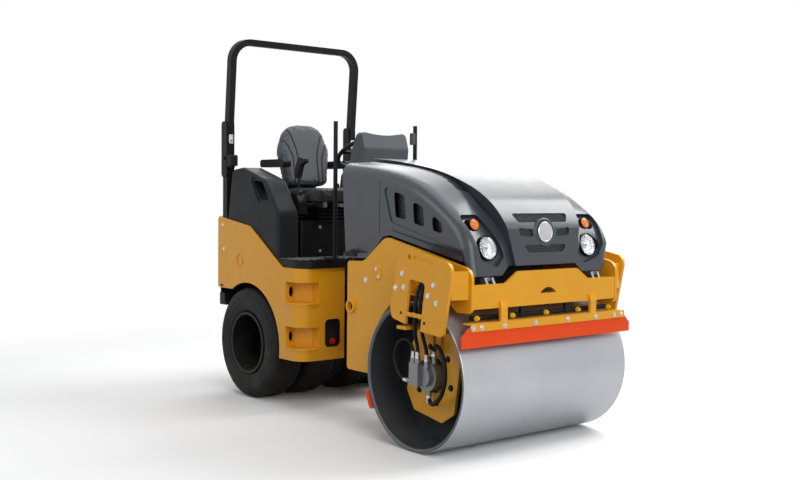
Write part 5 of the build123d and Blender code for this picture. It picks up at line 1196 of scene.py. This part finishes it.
def lockPlateShapes(look):
    length, width = look["x"][1] - look["x"][0], look["z"][1] - look["z"][0]
    ray = sideRays([(sum(look["x"]) / 2, sum(look["z"]) / 2)], -look["from"])[0]
    x, y, z = meet("front_sides", *ray)[0]
    points, faces = plate(roundedOutline(length, width, look["corner"]), look["thick"], look["edge"])
    upright = np.stack([points[:, 0] + x, y - points[:, 2], points[:, 1] + z], axis=1)
    bolts = [placed(hexBolt(look["bolt"]), (x + dx, y - look["thick"], z + dz), (0, -1, 0), dx)
             for dx, dz in look["bolts"]]
    return (upright, faces), bolts


lockShape, lockBolts = lockPlateShapes(lockPlate)
addPiece("lockPlates", bothSides([lockShape]), "front_frame", "yellow_paint", "amberPaint")
addPiece("lockBolts", bothSides(lockBolts), "front_frame", "bright_steel", "brightSteel", boltLook["sharp"])

# small rounded blocks: each one is a low corner, a high corner and how round it is
smallBlocks = {
    # a dark panel behind the skirt's hatch
    "isolatorPanel": {"blocks": [((-0.352, -0.392, 0.434), (-0.340, -0.266, 0.626), 0.12)],
                      "slot": "black_plastic", "finish": "mouldedBlack", "sharp": 30},
    # belt buckle beside the cushion
    "beltBuckle": {"blocks": [((-0.992, 0.166, 1.470), (-0.962, 0.184, 1.575), 0.3)],
                   "slot": "black_plastic", "finish": "mouldedBlack", "sharp": 40},
    "buckleButton": {"blocks": [((-0.988, 0.168, 1.565), (-0.966, 0.182, 1.582), 0.35)],
                     "slot": "lamp_red", "finish": "switchRed", "sharp": 40},
    # a box in front of the near post on its bracket, and a block on the left rail
    "postBox": {"blocks": [((-1.328, -0.600, 1.702), (-1.268, -0.538, 1.786), 0.16),
                           ((-1.345, -0.588, 1.690), (-1.290, -0.550, 1.703), 0.12)],
                "slot": "black_plastic", "finish": "mouldedBlack", "sharp": 30},
    "railBlock": {"blocks": [((-0.282, 0.318, 1.862), (-0.246, 0.346, 1.948), 0.16)],
                  "slot": "black_plastic", "finish": "dashGrey", "sharp": 30},
}
for name, look in smallBlocks.items():
    shapes = [softBlock(*block) for block in look["blocks"]]
    addPiece(name, shapes, "rear_frame", look["slot"], look["finish"], look["sharp"])

# red key switch on the isolator's panel: radius and height of its profile as shares of its size
isolatorKnob = {"place": (-0.340, -0.327, 0.472), "size": 0.022,
                "profile": [(0, 0), (0.8, 0), (0.8, 0.25), (1.0, 0.3), (1.0, 0.75), (0.92, 0.85),
                            (0.4, 0.9), (0.36, 1.3), (0, 1.35)]}
knob = placed(turned(np.array(isolatorKnob["profile"]) * isolatorKnob["size"]), isolatorKnob["place"],
              (1, 0, 0))
addPiece("isolatorKnob", [knob], "rear_frame", "lamp_red", "switchRed")

# bright catch on each foot of the roll bar: a rounded plate with a bolt, met by a ray from the front
catchLook = {"y": 0.567, "z": 1.905, "long": 0.070, "wide": 0.034, "thick": 0.010, "corner": 0.008,
             "edge": 0.002, "bolt": 0.010, "from": -1.0}


def catchShapes(look):
    x = meet("rops_hoop", (look["from"], -look["y"], look["z"]), fromFront)[0].x
    points, faces = plate(roundedOutline(look["wide"], look["long"], look["corner"]), look["thick"],
                          look["edge"])
    upright = np.stack([points[:, 2] + x, points[:, 0] - look["y"], points[:, 1] + look["z"]], axis=1)
    bolt = placed(hexBolt(look["bolt"]), (x + look["thick"], -look["y"], look["z"]), (1, 0, 0))
    return [(upright, faces), bolt]


addPiece("barCatches", bothSides(catchShapes(catchLook)), "roll_hoop", "bright_steel", "brightSteel")
print("small pieces set")
